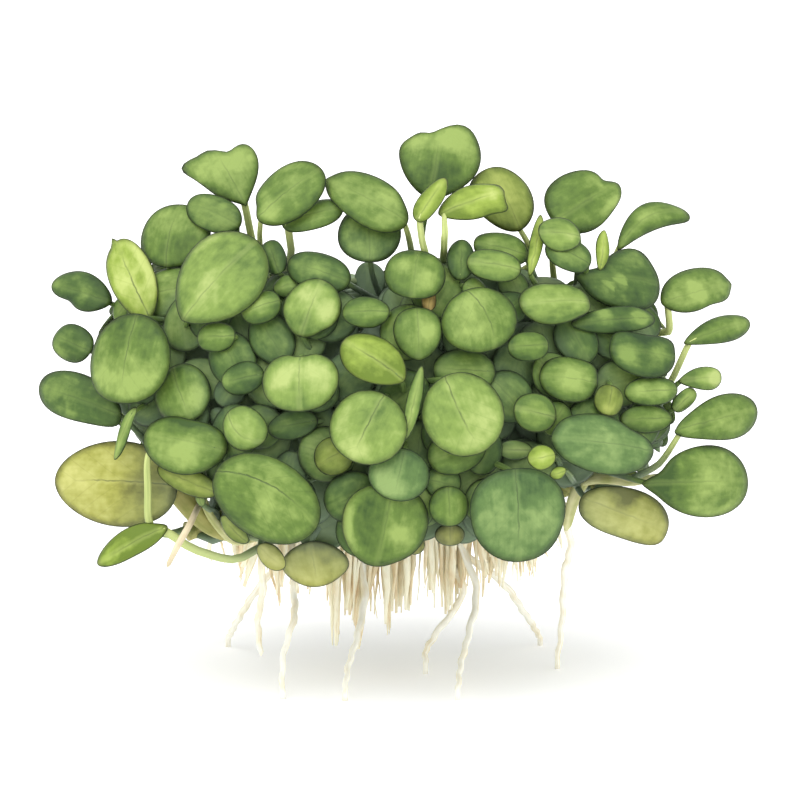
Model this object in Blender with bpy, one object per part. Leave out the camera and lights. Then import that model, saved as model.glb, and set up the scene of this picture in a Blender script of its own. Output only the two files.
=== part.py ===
"""A cushion of dwarf, round-leaved anubias, standing on its beard of roots.

Lengths are in millimetres and become metres where the meshes are made. +X is to the right, +Z is up,
and the front of the cushion faces -Y. The origin is on the surface, under the middle of the plant.
"""
import bmesh
import bpy
import math
from collections import namedtuple
from mathutils import Vector
from mathutils.bvhtree import BVHTree

MM = 0.001

# The cushion: a dome of leaves. Its back is lower than its front.
CUSHION_HALF_WIDTH = 57.0
LEAST_DOME = 0.01
FACE_SPREAD = 0.75

# Leaves are laid out as they are seen, from this height above level and from this far away.
VIEW_ELEVATION = math.radians(10.0)
VIEW_DISTANCE = 1000.0
VIEW_MIDDLE_UP = 42.0
SURFACE_UP = 1.5
VIEW_SHIFT = (0.07, 1.33, 0.0)

# A leaf: its petiole (stalk), and its blade.
PETIOLE_FOOT_RADIUS = 0.65
PETIOLE_NECK_RADIUS = 0.45
PETIOLE_STATIONS = (0.0, 0.3, 0.62, 0.92)
PETIOLE_PULL = 0.8
BLADE_STATIONS = (0.02, 0.14, 0.36, 0.62, 0.85, 1.0)
BLADE_HALF_THICKNESS = 0.25
BLADE_ARCH = 0.07
BLADE_DROOP = 0.10
NARROWEST_BLADE = 0.16
NECK_RINGS = 2
NECK_LENGTH = 3.0
NECK_ALONG = 0.6
NECK_OUTWARD = 0.8
RING_CORNERS = ((1.0, 0.0), (0.5, 1.0), (-0.5, 1.0), (-1.0, 0.0), (-0.5, -1.0), (0.5, -1.0))
HEXAGON_HEIGHT = math.sqrt(3.0) / 2.0
CURVE_END = 0.000001

# Clearances between neighbouring pieces.
GAP = 0.3
SINK_STEP = 0.7
SINK_LIMIT = 22

# The rhizome and its buds, from which the petioles grow.
RHIZOME_SPACING = 2.4
RHIZOME_SWELL = 0.1
BUD_SPACING = 1.7
BUD_TURNS = 8
BUD_TURN_COST = 10.0
BUD_ROOTING = 0.9
BUD_REFERENCE = Vector((0.31, 0.17, 0.94))

# Roots.
ROOT_RADIUS = 0.62
ROOT_TIP_RADIUS = 0.42
ROOT_POINTS = 8
ROOT_FOOT_LENGTH = 1.2
ROOT_COLLAR = 0.45
WELD = 0.00001

Leaf = namedtuple("Leaf", "name base tip width layer facing widest point tint via", defaults=((),))
Branch = namedtuple("Branch", "name route radii")
Bud = namedtuple("Bud", "start outward branch")
Root = namedtuple("Root", "name leaves_at route end_depth", defaults=(None,))
View = namedtuple("View", "across upward toward half_depth middle_up rise drop")
Blade = namedtuple("Blade", "base midrib side normal length width widest point")

SINE = math.sin(VIEW_ELEVATION)
COSINE = math.cos(VIEW_ELEVATION)
FRONT = View(Vector((1, 0, 0)), Vector((0, SINE, COSINE)), Vector((0, -COSINE, SINE)), 44.0, 28.0, 60.0, 30.0)
BACK = View(Vector((-1, 0, 0)), Vector((0, -SINE, COSINE)), Vector((0, COSINE, SINE)), 42.0, 24.0, 38.0, 30.0)

LEAF_TINTS = {
    "mid": (0.165, 0.315, 0.065),
    "dark": (0.090, 0.200, 0.050),
    "light": (0.310, 0.480, 0.120),
    "blue": (0.140, 0.290, 0.110),
    "bright": (0.400, 0.570, 0.110),
    "olive": (0.240, 0.320, 0.060),
    "yellow": (0.480, 0.500, 0.110),
}
RHIZOME_COLOUR = (0.240, 0.230, 0.080)
ROOT_COLOUR = (0.720, 0.620, 0.400)
LEAF_ROUGHNESS = 0.55
STEM_ROUGHNESS = 0.65

# Each leaf, as seen from its own side, across from the middle and up from the surface: the blade's base and
# tip, its width, how far it stands out of the dome, which way it is turned beyond the dome's own slope, where
# it is widest, how pointed it is, its tint, and any place that its petiole is seen to pass (across, up,
# behind the blade's base).
FRONT_LEAVES = (
    Leaf("leaf_front_lightest_round", (7.0, 45.6), (12.6, 34.1), 11.8, 2.5, (0.0, 0.0), 0.50, 0.50, "light"),
    Leaf("leaf_front_middle_round", (-2.0, 42.9), (-7.0, 32.9), 11.2, 2.5, (-0.1, 0.1), 0.50, 0.48, "light"),
    Leaf("leaf_front_notched_round", (-14.7, 49.2), (-14.7, 40.2), 11.2, 2.0, (0.0, 0.1), 0.46, 0.46,
         "light"),
    Leaf("leaf_front_yellow_ellipse", (0.9, 44.7), (-8.4, 50.6), 6.9, 1.5, (0.0, 0.2), 0.55, 0.52, "bright"),
    Leaf("leaf_low_left_largest", (-28.0, 31.6), (-11.9, 22.8), 13.2, 1.5, (0.0, -0.1), 0.50, 0.50, "mid"),
    Leaf("leaf_low_right_large_round", (17.3, 32.0), (17.7, 18.0), 14.4, 1.0, (0.0, -0.1), 0.45, 0.50,
         "blue"),
    Leaf("leaf_front_blue_round", (1.0, 34.8), (-0.7, 26.9), 8.9, 1.0, (0.0, -0.1), 0.50, 0.48, "blue"),
    Leaf("leaf_low_middle_large", (-0.7, 29.3), (-3.3, 16.9), 12.4, -1.0, (0.1, -0.2), 0.45, 0.50, "mid"),
    Leaf("leaf_upper_right_round", (10.2, 58.5), (14.6, 49.6), 11.3, 1.0, (0.0, 0.0), 0.50, 0.48, "mid"),
    Leaf("leaf_upper_middle_round", (3.0, 64.6), (2.1, 57.1), 8.9, 0.5, (0.0, 0.1), 0.50, 0.48, "mid"),
    Leaf("leaf_upper_heart_light", (-14.7, 51.5), (-11.2, 60.0), 8.3, 0.5, (0.0, 0.0), 0.50, 0.48, "light"),
    Leaf("leaf_upper_left_large", (-31.7, 53.8), (-20.6, 66.0), 11.7, 2.0, (0.0, 0.0), 0.58, 0.52, "light"),
    Leaf("leaf_left_olive_round", (-38.8, 55.0), (-41.2, 41.4), 12.0, 3.0, (0.0, 0.0), 0.52, 0.48, "mid"),
    Leaf("leaf_left_shelf", (-25.6, 34.4), (-38.0, 37.0), 9.2, 1.0, (0.0, 0.2), 0.50, 0.48, "mid"),
    Leaf("leaf_right_blue_ellipse", (38.4, 34.3), (23.0, 36.3), 8.7, 1.5, (0.0, 0.2), 0.50, 0.55, "blue"),
    Leaf("leaf_right_upper_oval", (28.8, 56.8), (18.1, 56.2), 6.2, 0.0, (0.0, 0.2), 0.55, 0.48, "light"),
    Leaf("leaf_right_middle_oval", (30.0, 44.6), (21.2, 45.6), 6.7, -1.0, (0.0, 0.1), 0.50, 0.48, "mid"),
    Leaf("leaf_right_dark_rimmed", (41.6, 48.2), (31.7, 49.7), 6.9, 1.0, (0.0, 0.1), 0.50, 0.48, "dark"),
    Leaf("leaf_right_upper_dark", (38.8, 57.4), (26.4, 60.2), 8.6, 0.0, (0.1, 0.1), 0.45, 0.55, "dark"),
    Leaf("leaf_low_right_lobe", (36.2, 29.5), (52.5, 30.0), 10.6, 0.5, (0.1, 0.0), 0.62, 0.46, "mid"),
    Leaf("leaf_right_bean_low", (41.9, 38.0), (53.85, 41.0), 6.8, 3.0, (0.1, 0.1), 0.62, 0.50, "mid",
         ((38.9, 32.2, -2.0),)),
    Leaf("leaf_low_right_yellow", (27.6, 27.4), (40.5, 22.6), 7.8, -2.0, (0.0, -0.2), 0.55, 0.48, "yellow"),
    Leaf("leaf_low_left_yellow", (-33.5, 29.2), (-51.7, 29.7), 12.6, -3.0, (0.1, -0.1), 0.45, 0.52, "yellow"),
    Leaf("leaf_low_left_bright", (-34.5, 23.2), (-45.1, 17.3), 4.8, 2.0, (0.2, 0.3), 0.50, 0.55, "bright",
         ((-26.5, 19.4, -1.0),)),
    Leaf("leaf_low_middle_olive", (-13.2, 20.8), (-11.8, 14.0), 9.8, -7.0, (0.0, -0.3), 0.55, 0.48, "yellow"),
    Leaf("leaf_left_low_dark", (-41.4, 39.8), (-53.85, 44.3), 7.4, 1.0, (0.0, 0.1), 0.55, 0.50, "dark"),
    Leaf("leaf_left_upper_dark", (-43.0, 56.6), (-51.9, 59.4), 6.4, 1.0, (0.1, 0.0), 0.55, 0.52, "dark"),
    Leaf("leaf_left_bright_spoon", (-36.9, 54.3), (-41.9, 66.0), 6.7, -1.0, (0.1, 0.0), 0.50, 0.58, "bright"),
    Leaf("leaf_top_left_round", (-34.7, 61.8), (-32.4, 71.4), 10.3, -2.0, (0.0, 0.0), 0.52, 0.48, "mid"),
    Leaf("leaf_top_left_fishtail", (-23.1, 71.5), (-27.9, 80.2), 9.6, -1.0, (0.1, -0.1), 0.72, 0.44, "mid",
         ((-22.3, 67.4, -3.0),)),
    Leaf("leaf_top_left_ellipse", (-21.0, 68.6), (-11.2, 76.4), 7.2, 3.0, (0.0, -0.1), 0.52, 0.50, "mid"),
    Leaf("leaf_top_middle_wide", (1.2, 66.6), (-10.7, 74.8), 7.9, 1.0, (0.0, 0.0), 0.48, 0.55, "mid"),
    Leaf("leaf_top_middle_shaded", (-4.2, 62.6), (-4.4, 71.2), 9.3, -3.0, (0.0, 0.0), 0.50, 0.48, "dark"),
    Leaf("leaf_top_bright_tongue", (6.3, 69.8), (16.3, 73.2), 5.0, 4.0, (0.0, 0.0), 0.55, 0.50, "bright",
         ((7.0, 66.6, 3.0),)),
    Leaf("leaf_top_heart", (4.6, 72.2), (6.2, 83.1), 12.2, -1.0, (0.0, -0.2), 0.62, 0.42, "mid",
         ((4.2, 66.0, -2.0),)),
    Leaf("leaf_top_olive", (18.9, 67.6), (14.3, 76.6), 8.4, -4.0, (0.0, -0.1), 0.55, 0.48, "olive",
         ((19.6, 62.0, -5.0),)),
    Leaf("leaf_top_right_large", (24.2, 67.4), (33.2, 74.6), 8.6, 1.0, (0.0, -0.1), 0.48, 0.56, "mid"),
    Leaf("leaf_top_right_bean", (33.0, 64.4), (43.4, 70.2), 4.3, 2.0, (0.0, 0.2), 0.55, 0.46, "mid"),
    Leaf("leaf_right_upper_rim", (41.0, 54.4), (50.3, 59.5), 6.2, 1.0, (0.1, 0.1), 0.58, 0.50, "mid",
         ((40.5, 52.2, -1.0),)),
    Leaf("leaf_right_middle_rim", (43.2, 50.0), (52.8, 53.2), 4.1, 2.0, (0.1, 0.3), 0.60, 0.48, "mid",
         ((41.8, 45.4, -1.0),)),
)
# The back isn't shown. It is laid out in the same way, seen from behind.
BACK_LEAVES = (
    Leaf("leaf_back_low_left", (-24.0, 29.0), (-36.0, 24.0), 11.5, 0.0, (0.0, 0.0), 0.50, 0.50, "mid"),
    Leaf("leaf_back_low_middle", (0.0, 31.0), (-3.0, 18.5), 12.0, 0.0, (0.0, -0.1), 0.50, 0.48, "mid"),
    Leaf("leaf_back_low_right", (24.0, 28.0), (36.0, 24.0), 11.0, 0.0, (0.0, 0.0), 0.50, 0.50, "blue"),
    Leaf("leaf_back_upper_left", (-20.0, 46.0), (-30.0, 51.0), 10.5, 0.0, (0.0, 0.0), 0.50, 0.48, "mid"),
    Leaf("leaf_back_upper_middle", (6.0, 44.0), (2.0, 54.5), 11.0, 0.0, (0.0, 0.0), 0.52, 0.48, "light"),
    Leaf("leaf_back_upper_right", (27.0, 44.5), (32.0, 53.5), 9.5, 0.0, (0.0, 0.0), 0.50, 0.50, "mid"),
)
SMALL_BACK_LEAVES = (
    Leaf("small_leaf_low_1", (-13.0, 27.5), (-18.0, 19.0), 8.5, -1.0, (0.0, 0.0), 0.50, 0.50, "mid"),
    Leaf("small_leaf_low_2", (12.0, 27.0), (18.0, 19.0), 9.0, -1.0, (0.0, 0.0), 0.50, 0.48, "olive"),
    Leaf("small_leaf_middle_1", (-29.0, 36.0), (-37.0, 41.0), 8.5, -1.0, (0.0, 0.1), 0.50, 0.48, "mid"),
    Leaf("small_leaf_middle_2", (-20.0, 33.5), (-19.0, 42.0), 9.0, -1.0, (0.0, 0.0), 0.50, 0.48, "dark"),
    Leaf("small_leaf_middle_3", (-6.0, 34.0), (-6.5, 42.5), 9.0, 0.0, (0.0, 0.0), 0.50, 0.48, "mid"),
    Leaf("small_leaf_middle_4", (9.0, 34.0), (11.5, 43.0), 9.0, 0.0, (0.0, 0.0), 0.50, 0.48, "blue"),
    Leaf("small_leaf_middle_5", (20.0, 34.5), (24.5, 42.0), 8.5, -1.0, (0.0, 0.0), 0.50, 0.48, "mid"),
    Leaf("small_leaf_middle_6", (31.0, 34.5), (38.5, 39.0), 8.5, -1.0, (0.0, 0.1), 0.50, 0.48, "mid"),
    Leaf("small_leaf_upper_1", (-10.0, 46.0), (-12.0, 55.0), 8.5, -1.0, (0.0, 0.1), 0.50, 0.48, "mid"),
    Leaf("small_leaf_upper_2", (16.0, 46.0), (17.5, 54.5), 8.5, -1.0, (0.0, 0.1), 0.50, 0.48, "mid"),
    Leaf("small_leaf_top_1", (-5.0, 53.5), (-9.5, 57.5), 9.0, 1.0, (0.0, 0.8), 0.50, 0.48, "light"),
    Leaf("small_leaf_top_2", (9.0, 54.0), (12.5, 58.0), 9.0, 1.0, (0.0, 0.8), 0.50, 0.48, "light"),
)
# The rhizome, split at its forks. Each branch starts just clear of the one that it grows from.
BRANCHES = (
    Branch("rhizome_main",
           ((-31, -13, 24), (-20, -8, 26), (-8, -1, 27), (6, 1, 27), (18, -3, 28), (30, -11, 31)),
           (1.4, 1.9, 2.0, 2.0, 1.8, 1.3)),
    Branch("rhizome_left", ((-20, -4.9, 28.6), (-23.5, 1, 35), (-27, 4, 44), (-28, 4, 52)),
           (1.5, 1.5, 1.3, 1.0)),
    Branch("rhizome_right", ((18.5, 0.2, 30.1), (23, 5, 36), (27, 7, 44), (28, 6, 53)), (1.5, 1.5, 1.3, 1.0)),
    Branch("rhizome_front", ((2.0, -2.5, 28.0), (1.0, -11, 31), (-1, -17, 38), (-2, -17, 46)),
           (1.5, 1.5, 1.3, 1.0)),
    Branch("rhizome_back", ((4.0, 4.3, 28.0), (4, 13, 32), (2, 20, 39), (1, 21, 47)), (1.5, 1.5, 1.3, 1.0)),
    Branch("rhizome_crown", ((-5, 0.3, 30.6), (-4, 1, 40), (-1, 1, 50), (1, 1, 58)), (1.6, 1.6, 1.4, 1.0)),
)
# Each long root: where it leaves the main rhizome, and the places that it passes, as seen. A root without
# an end depth stands on the surface.
ROOTS = (
    Root("root_front_left", 0.27, ((-15.6, 13.5), (-15.6, 9.4), (-17.1, 4.0), (-17.4, -2.8))),
    Root("root_front_middle", 0.42, ((-5.0, 14.0), (-6.0, 7.0), (-7.4, 2.2), (-8.0, -3.1))),
    Root("root_front_right", 0.62, ((11.6, 14.5), (10.6, 7.0), (9.4, 2.2), (9.0, -2.9))),
    Root("root_middle", 0.54, ((9.6, 14.5), (6.0, 7.4), (4.2, 4.5), (4.2, 0.9))),
    Root("root_right", 0.90, ((25.9, 20.5), (25.0, 16.3), (24.6, 8.9), (23.9, 1.7))),
    Root("root_left_short", 0.19, ((-20.3, 13.8), (-21.0, 9.0), (-20.6, 4.2)), 9.0),
    Root("root_back_left", 0.35, ((-20.0, 15.0), (-24.0, 9.0), (-25.5, 5.0))),
    Root("root_back_right", 0.50, ((14.0, 16.0), (19.0, 10.0), (21.3, 5.2))),
)


def clear_scene():
    """Take away whatever the file opened with."""
    for thing in list(bpy.data.objects):
        bpy.data.objects.remove(thing)


def new_collection(name):
    """A collection linked to the scene."""
    collection = bpy.data.collections.new(name)
    bpy.context.scene.collection.children.link(collection)
    return collection


def plain_material(name, colour, roughness):
    """One Principled finish."""
    material = bpy.data.materials.new(name)
    material.use_nodes = True
    shader = material.node_tree.nodes["Principled BSDF"]
    shader.inputs["Base Color"].default_value = (*colour, 1.0)
    shader.inputs["Roughness"].default_value = roughness
    shader.inputs["Metallic"].default_value = 0.0
    return material


def view_point(view, across, up, depth):
    """The place that is seen at (across, up) and stands depth in front of the plant's middle."""
    scale = 1.0 - depth / VIEW_DISTANCE
    height = VIEW_MIDDLE_UP + (up - VIEW_MIDDLE_UP) * scale - SURFACE_UP
    return Vector(VIEW_SHIFT) + view.across * (across * scale) + view.upward * height + view.toward * depth


def surface_point(view, across, up):
    """The place on the surface that is seen at (across, up)."""
    near = view_point(view, across, up, 0.0)
    far = view_point(view, across, up, 1.0)
    return near + (far - near) * (near.z / (near.z - far.z))


def dome_depth(view, across, up):
    """How far the cushion's surface stands out where it is seen at (across, up)."""
    reach = view.rise if up > view.middle_up else view.drop
    rest = 1.0 - (across / CUSHION_HALF_WIDTH) ** 2 - ((up - view.middle_up) / reach) ** 2
    return view.half_depth * math.sqrt(max(rest, LEAST_DOME))


def set_blade(view, leaf, sunk):
    """The blade's frame in space, when it lies sunk deeper than its layer."""
    base_across, base_up = leaf.base
    tip_across, tip_up = leaf.tip
    across = (base_across + tip_across) / 2.0
    up = (base_up + tip_up) / 2.0
    depth = dome_depth(view, across, up) + leaf.layer - sunk
    slope_across = FACE_SPREAD * across / CUSHION_HALF_WIDTH + leaf.facing[0]
    slope_up = FACE_SPREAD * (up - view.middle_up) / view.rise + leaf.facing[1]
    run = Vector((tip_across - base_across, tip_up - base_up))
    lean = -(run.x * slope_across + run.y * slope_up)
    base = view_point(view, base_across, base_up, depth - lean / 2.0)
    tip = view_point(view, tip_across, tip_up, depth + lean / 2.0)
    facing = view.across * slope_across + view.upward * slope_up + view.toward
    midrib = (tip - base).normalized()
    side = midrib.cross(facing).normalized()
    normal = side.cross(midrib)
    seen_side = Vector((side.dot(view.across), side.dot(view.upward)))
    square_to_run = Vector((run.y, -run.x)).normalized()
    width = leaf.width / abs(seen_side.dot(square_to_run))
    return Blade(base, midrib, side, normal, (tip - base).length, width, leaf.widest, leaf.point)


def blade_half_width(blade, along):
    """The outline: half the blade's width at this share of its length."""
    skew = math.log(0.5) / math.log(blade.widest)
    share = min(max(along, 0.0), 1.0) ** skew
    fullness = (4.0 * share * (1.0 - share)) ** blade.point
    return blade.width / 2.0 * max(fullness, NARROWEST_BLADE)


def ring(centre, side, normal, half_width, half_height, droop):
    """Six points round a petiole or across a blade, whose edges droop."""
    points = []
    for sideways, upward in RING_CORNERS:
        fall = droop * sideways ** 2
        points.append(centre + side * (half_width * sideways) + normal * (half_height * upward - fall))
    return points


def blade_rings(blade, extra):
    """The blade's cross-sections from base to tip, grown by extra on every side."""
    rings = []
    for along in BLADE_STATIONS:
        rise = BLADE_ARCH * blade.length * (1.0 - (2.0 * along - 1.0) ** 2)
        centre = blade.base + blade.midrib * (blade.length * along) + blade.normal * rise
        half_width = blade_half_width(blade, along)
        droop = BLADE_DROOP * blade.width * (2.0 * half_width / blade.width) ** 2
        height = BLADE_HALF_THICKNESS + extra
        rings.append(ring(centre, blade.side, blade.normal, half_width + extra, height, droop))
    rings[0] = [point - blade.midrib * extra for point in rings[0]]
    rings[-1] = [point + blade.midrib * extra for point in rings[-1]]
    return rings


def spline(stations, share):
    """A point and a direction on a smooth curve through (point, tangent) stations."""
    spans = len(stations) - 1
    place = min(share * spans, spans - CURVE_END)
    span = int(place)
    s = place - span
    start, leave = stations[span]
    end, arrive = stations[span + 1]
    point = (start * (2 * s ** 3 - 3 * s ** 2 + 1) + leave * (s ** 3 - 2 * s ** 2 + s)
             + end * (3 * s ** 2 - 2 * s ** 3) + arrive * (s ** 3 - s ** 2))
    slope = (start * (6 * s ** 2 - 6 * s) + leave * (3 * s ** 2 - 4 * s + 1)
             + end * (6 * s - 6 * s ** 2) + arrive * (3 * s ** 2 - 2 * s))
    return point, slope.normalized()


def petiole_route(view, leaf, blade, bud):
    """The stations of the petiole's curve, from its bud to the blade."""
    stations = [bud.start]
    for across, up, behind in leaf.via:
        middle = view_point(view, across, up, blade.base.dot(view.toward) + behind)
        stations.append(middle)
    stations.append(blade.base)
    arrival = neck_direction(blade)
    route = []
    for index, point in enumerate(stations):
        before = (point - stations[index - 1]).length if index else (stations[1] - point).length
        if index == 0:
            tangent = bud.outward * before * PETIOLE_PULL
        elif index == len(stations) - 1:
            tangent = arrival * before * PETIOLE_PULL
        else:
            tangent = (stations[index + 1] - stations[index - 1]).normalized() * before
        route.append((point, tangent))
    return route


def petiole_rings(route, blade, extra):
    """The petiole's cross-sections from the bud to the blade."""
    rings = []
    side = blade.side
    for share in reversed(PETIOLE_STATIONS):
        centre, along = spline(route, share)
        side = (side - along * side.dot(along)).normalized()
        normal = side.cross(along)
        radius = PETIOLE_FOOT_RADIUS + (PETIOLE_NECK_RADIUS - PETIOLE_FOOT_RADIUS) * share + extra
        rings.append(ring(centre, side, normal, radius, radius * HEXAGON_HEIGHT, 0.0))
    rings.reverse()
    return rings


def skin(rings):
    """Points and faces of the closed skin over a row of rings."""
    points = [point for row in rings for point in row]
    count = len(rings[0])
    faces = [list(range(count)), [len(points) - 1 - corner for corner in range(count)]]
    for row in range(len(rings) - 1):
        for corner in range(count):
            after = (corner + 1) % count
            first = row * count
            faces.append([first + corner, first + count + corner, first + count + after, first + after])
    return points, faces


def tree_of(skins):
    """One search tree over several skins."""
    points = []
    faces = []
    for skin_points, skin_faces in skins:
        start = len(points)
        points.extend(skin_points)
        faces.extend([start + corner for corner in face] for face in skin_faces)
    return BVHTree.FromPolygons(points, faces)


def neck_direction(blade):
    """The direction in which the petiole comes up behind the blade, before it bends into the midrib."""
    return (blade.midrib * NECK_ALONG + blade.normal * NECK_OUTWARD).normalized()


def necked_blade(blade, extra):
    """The skin of a blade with the last few millimetres of its petiole."""
    along = neck_direction(blade)
    upward = blade.side.cross(along)
    radius = PETIOLE_NECK_RADIUS + extra
    start = blade.base - along * NECK_LENGTH
    neck = ring(start, blade.side, upward, radius, radius * HEXAGON_HEIGHT, 0.0)
    return skin([neck] + blade_rings(blade, extra))


def place_blades(view, leaves, placed):
    """Lay the blades in, front ones first: one that would touch an earlier one sinks until it is clear."""
    blades = []
    for leaf in leaves:
        taken = tree_of(placed) if placed else None
        for step in range(SINK_LIMIT):
            blade = set_blade(view, leaf, step * SINK_STEP)
            grown = tree_of([necked_blade(blade, GAP)])
            if taken is None or not grown.overlap(taken):
                break
        blades.append(blade)
        placed.append(necked_blade(blade, 0.0))
    return blades


def smooth_points(route, values, spacing):
    """Evenly spaced points, with values, on a smooth curve through a route."""
    corners = [Vector(point) for point in route]
    stations = []
    for index, point in enumerate(corners):
        before = corners[max(index - 1, 0)]
        after = corners[min(index + 1, len(corners) - 1)]
        share = 1.0 if 0 < index < len(corners) - 1 else 2.0
        stations.append((point, (after - before) * 0.5 * share))
    length = sum((b - a).length for a, b in zip(corners, corners[1:]))
    count = max(int(round(length / spacing)), 3)
    result = []
    for step in range(count + 1):
        share = step / count
        point, along = spline(stations, share)
        place = share * (len(values) - 1)
        low = min(int(place), len(values) - 2)
        value = values[low] + (values[low + 1] - values[low]) * (place - low)
        result.append((point, along, value))
    return result


def tube(name, points, material, collection):
    """A closed tube through (point, radius) pairs, in millimetres."""
    curve = bpy.data.curves.new(name, "CURVE")
    curve.dimensions = "3D"
    curve.bevel_depth = MM
    curve.bevel_resolution = 2
    curve.use_fill_caps = True
    line = curve.splines.new("POLY")
    line.points.add(len(points) - 1)
    for target, (point, radius) in zip(line.points, points):
        target.co = (*(point * MM), 1.0)
        target.radius = radius
    piece = bpy.data.objects.new(name, curve)
    piece.data.materials.append(material)
    collection.objects.link(piece)
    return piece


def skin_of_tube(piece):
    """The skin of a tube, in millimetres, for the clearance search."""
    graph = bpy.context.evaluated_depsgraph_get()
    mesh = bpy.data.meshes.new_from_object(piece.evaluated_get(graph))
    points = [vertex.co / MM for vertex in mesh.vertices]
    faces = [list(polygon.vertices) for polygon in mesh.polygons]
    bpy.data.meshes.remove(mesh)
    return points, faces


def make_mesh_of(piece, collection):
    """The tube as a closed mesh in place of its curve."""
    graph = bpy.context.evaluated_depsgraph_get()
    mesh = bpy.data.meshes.new_from_object(piece.evaluated_get(graph))
    shape = bmesh.new()
    shape.from_mesh(mesh)
    bmesh.ops.remove_doubles(shape, verts=shape.verts, dist=WELD)
    shape.to_mesh(mesh)
    shape.free()
    name = piece.name
    place = piece.matrix_world.copy()
    bpy.data.objects.remove(piece)
    solid = bpy.data.objects.new(name, mesh)
    solid.matrix_world = place
    collection.objects.link(solid)
    return solid


def make_rhizome(collection):
    """The rhizome's branches, ringed where old leaves stood, and the buds along them."""
    material = plain_material("rhizome_skin", RHIZOME_COLOUR, STEM_ROUGHNESS)
    pieces = []
    skins = []
    buds = []
    for branch in BRANCHES:
        points = smooth_points(branch.route, branch.radii, RHIZOME_SPACING)
        ringed = [(point, radius * (1.0 + RHIZOME_SWELL * (-1) ** index))
                  for index, (point, _, radius) in enumerate(points)]
        piece = tube(branch.name, ringed, material, collection)
        skins.append(skin_of_tube(piece))
        pieces.append(make_mesh_of(piece, collection))
        for point, along, radius in smooth_points(branch.route, branch.radii, BUD_SPACING)[1:]:
            square = along.cross(BUD_REFERENCE).normalized()
            other = along.cross(square)
            for turn in range(BUD_TURNS):
                angle = 2.0 * math.pi * turn / BUD_TURNS
                outward = square * math.cos(angle) + other * math.sin(angle)
                clear = radius * (1.0 + RHIZOME_SWELL) + GAP
                buds.append(Bud(point + outward * clear, outward, len(pieces) - 1))
    return pieces, skins, buds


def bud_cost(bud, blade):
    """Long ways and sharp turns count against a bud."""
    way = blade.base - bud.start
    return way.length + BUD_TURN_COST * (1.0 - bud.outward.dot(way.normalized()))


def make_leaf(leaf, rings, materials, collection):
    """One leaf, petiole and blade in one skin."""
    mesh = bpy.data.meshes.new(leaf.name)
    shape = bmesh.new()
    points, faces = skin(rings)
    corners = [shape.verts.new(point * MM) for point in points]
    for face in faces:
        shape.faces.new([corners[index] for index in face])
    bmesh.ops.recalc_face_normals(shape, faces=shape.faces)
    shape.to_mesh(mesh)
    shape.free()
    mesh.shade_smooth()
    mesh.materials.append(materials[leaf.tint])
    piece = bpy.data.objects.new(leaf.name, mesh)
    collection.objects.link(piece)
    return piece


def find_petiole(view, leaf, blade, buds, taken):
    """The nearest bud that leaves the petiole a clear way, and that way."""
    for bud in sorted(buds, key=lambda choice: bud_cost(choice, blade)):
        route = petiole_route(view, leaf, blade, bud)
        grown = petiole_rings(route, blade, GAP / 2.0) + blade_rings(blade, GAP / 2.0)[:NECK_RINGS]
        if not tree_of([skin(grown)]).overlap(taken):
            return bud, route
    raise ValueError("no clear way to " + leaf.name)


def fuse(branch, small_leaf):
    """Join a small leaf to the branch that it grows from."""
    small_leaf.hide_render = True
    small_leaf.display_type = "WIRE"
    union = branch.modifiers.new(small_leaf.name, "BOOLEAN")
    union.operation = "UNION"
    union.solver = "EXACT"
    union.object = small_leaf


def make_leaves(collection, small_leaves, rhizome, rhizome_skins, buds):
    """Every leaf: the blades first, then each petiole. Small leaves are fused to their branch."""
    materials = {tint: plain_material("leaf_" + tint, colour, LEAF_ROUGHNESS)
                 for tint, colour in LEAF_TINTS.items()}
    placed = []
    rows = []
    for view, leaves in ((FRONT, FRONT_LEAVES), (BACK, BACK_LEAVES + SMALL_BACK_LEAVES)):
        blades = place_blades(view, leaves, placed)
        rows.extend((view, leaf, blade) for leaf, blade in zip(leaves, blades))
    petioles = []
    for number, (view, leaf, blade) in enumerate(rows):
        others = placed[:number] + placed[number + 1:]
        taken = tree_of(others + rhizome_skins + petioles)
        bud, route = find_petiole(view, leaf, blade, buds, taken)
        petioles.append(skin(petiole_rings(route, blade, 0.0) + blade_rings(blade, 0.0)[:NECK_RINGS]))
        if leaf not in SMALL_BACK_LEAVES:
            make_leaf(leaf, petiole_rings(route, blade, 0.0) + blade_rings(blade, 0.0), materials, collection)
            continue
        rooted = bud._replace(start=bud.start - bud.outward * BUD_ROOTING)
        rings = petiole_rings(petiole_route(view, leaf, blade, rooted), blade, 0.0) + blade_rings(blade, 0.0)
        fuse(rhizome[bud.branch], make_leaf(leaf, rings, materials, small_leaves))


def make_roots(collection):
    """The long roots, from under the main rhizome. One that stands has a foot cut square on the surface."""
    material = plain_material("root_skin", ROOT_COLOUR, STEM_ROUGHNESS)
    main = BRANCHES[0]
    stem = smooth_points(main.route, main.radii, RHIZOME_SPACING)
    for root in ROOTS:
        point, _, radius = stem[int(round(root.leaves_at * (len(stem) - 1)))]
        start = point - Vector((0, 0, radius * (1.0 + RHIZOME_SWELL) + ROOT_COLLAR))
        if root.end_depth is None:
            end = surface_point(FRONT, *root.route[-1])
            end.z = ROOT_FOOT_LENGTH
        else:
            end = view_point(FRONT, *root.route[-1], root.end_depth)
        corners = [start]
        for index, (across, up) in enumerate(root.route[:-1]):
            share = (index + 1) / len(root.route)
            depth = (start + (end - start) * share).dot(FRONT.toward)
            corners.append(view_point(FRONT, across, up, depth))
        corners.append(end)
        points = [(place, thickness) for place, _, thickness in
                  smooth_points(corners, (ROOT_RADIUS, ROOT_TIP_RADIUS), (start - end).length / ROOT_POINTS)]
        if root.end_depth is None:
            points.append((Vector((end.x, end.y, 0.0)), ROOT_TIP_RADIUS))
        tube(root.name, points, material, collection)


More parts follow.
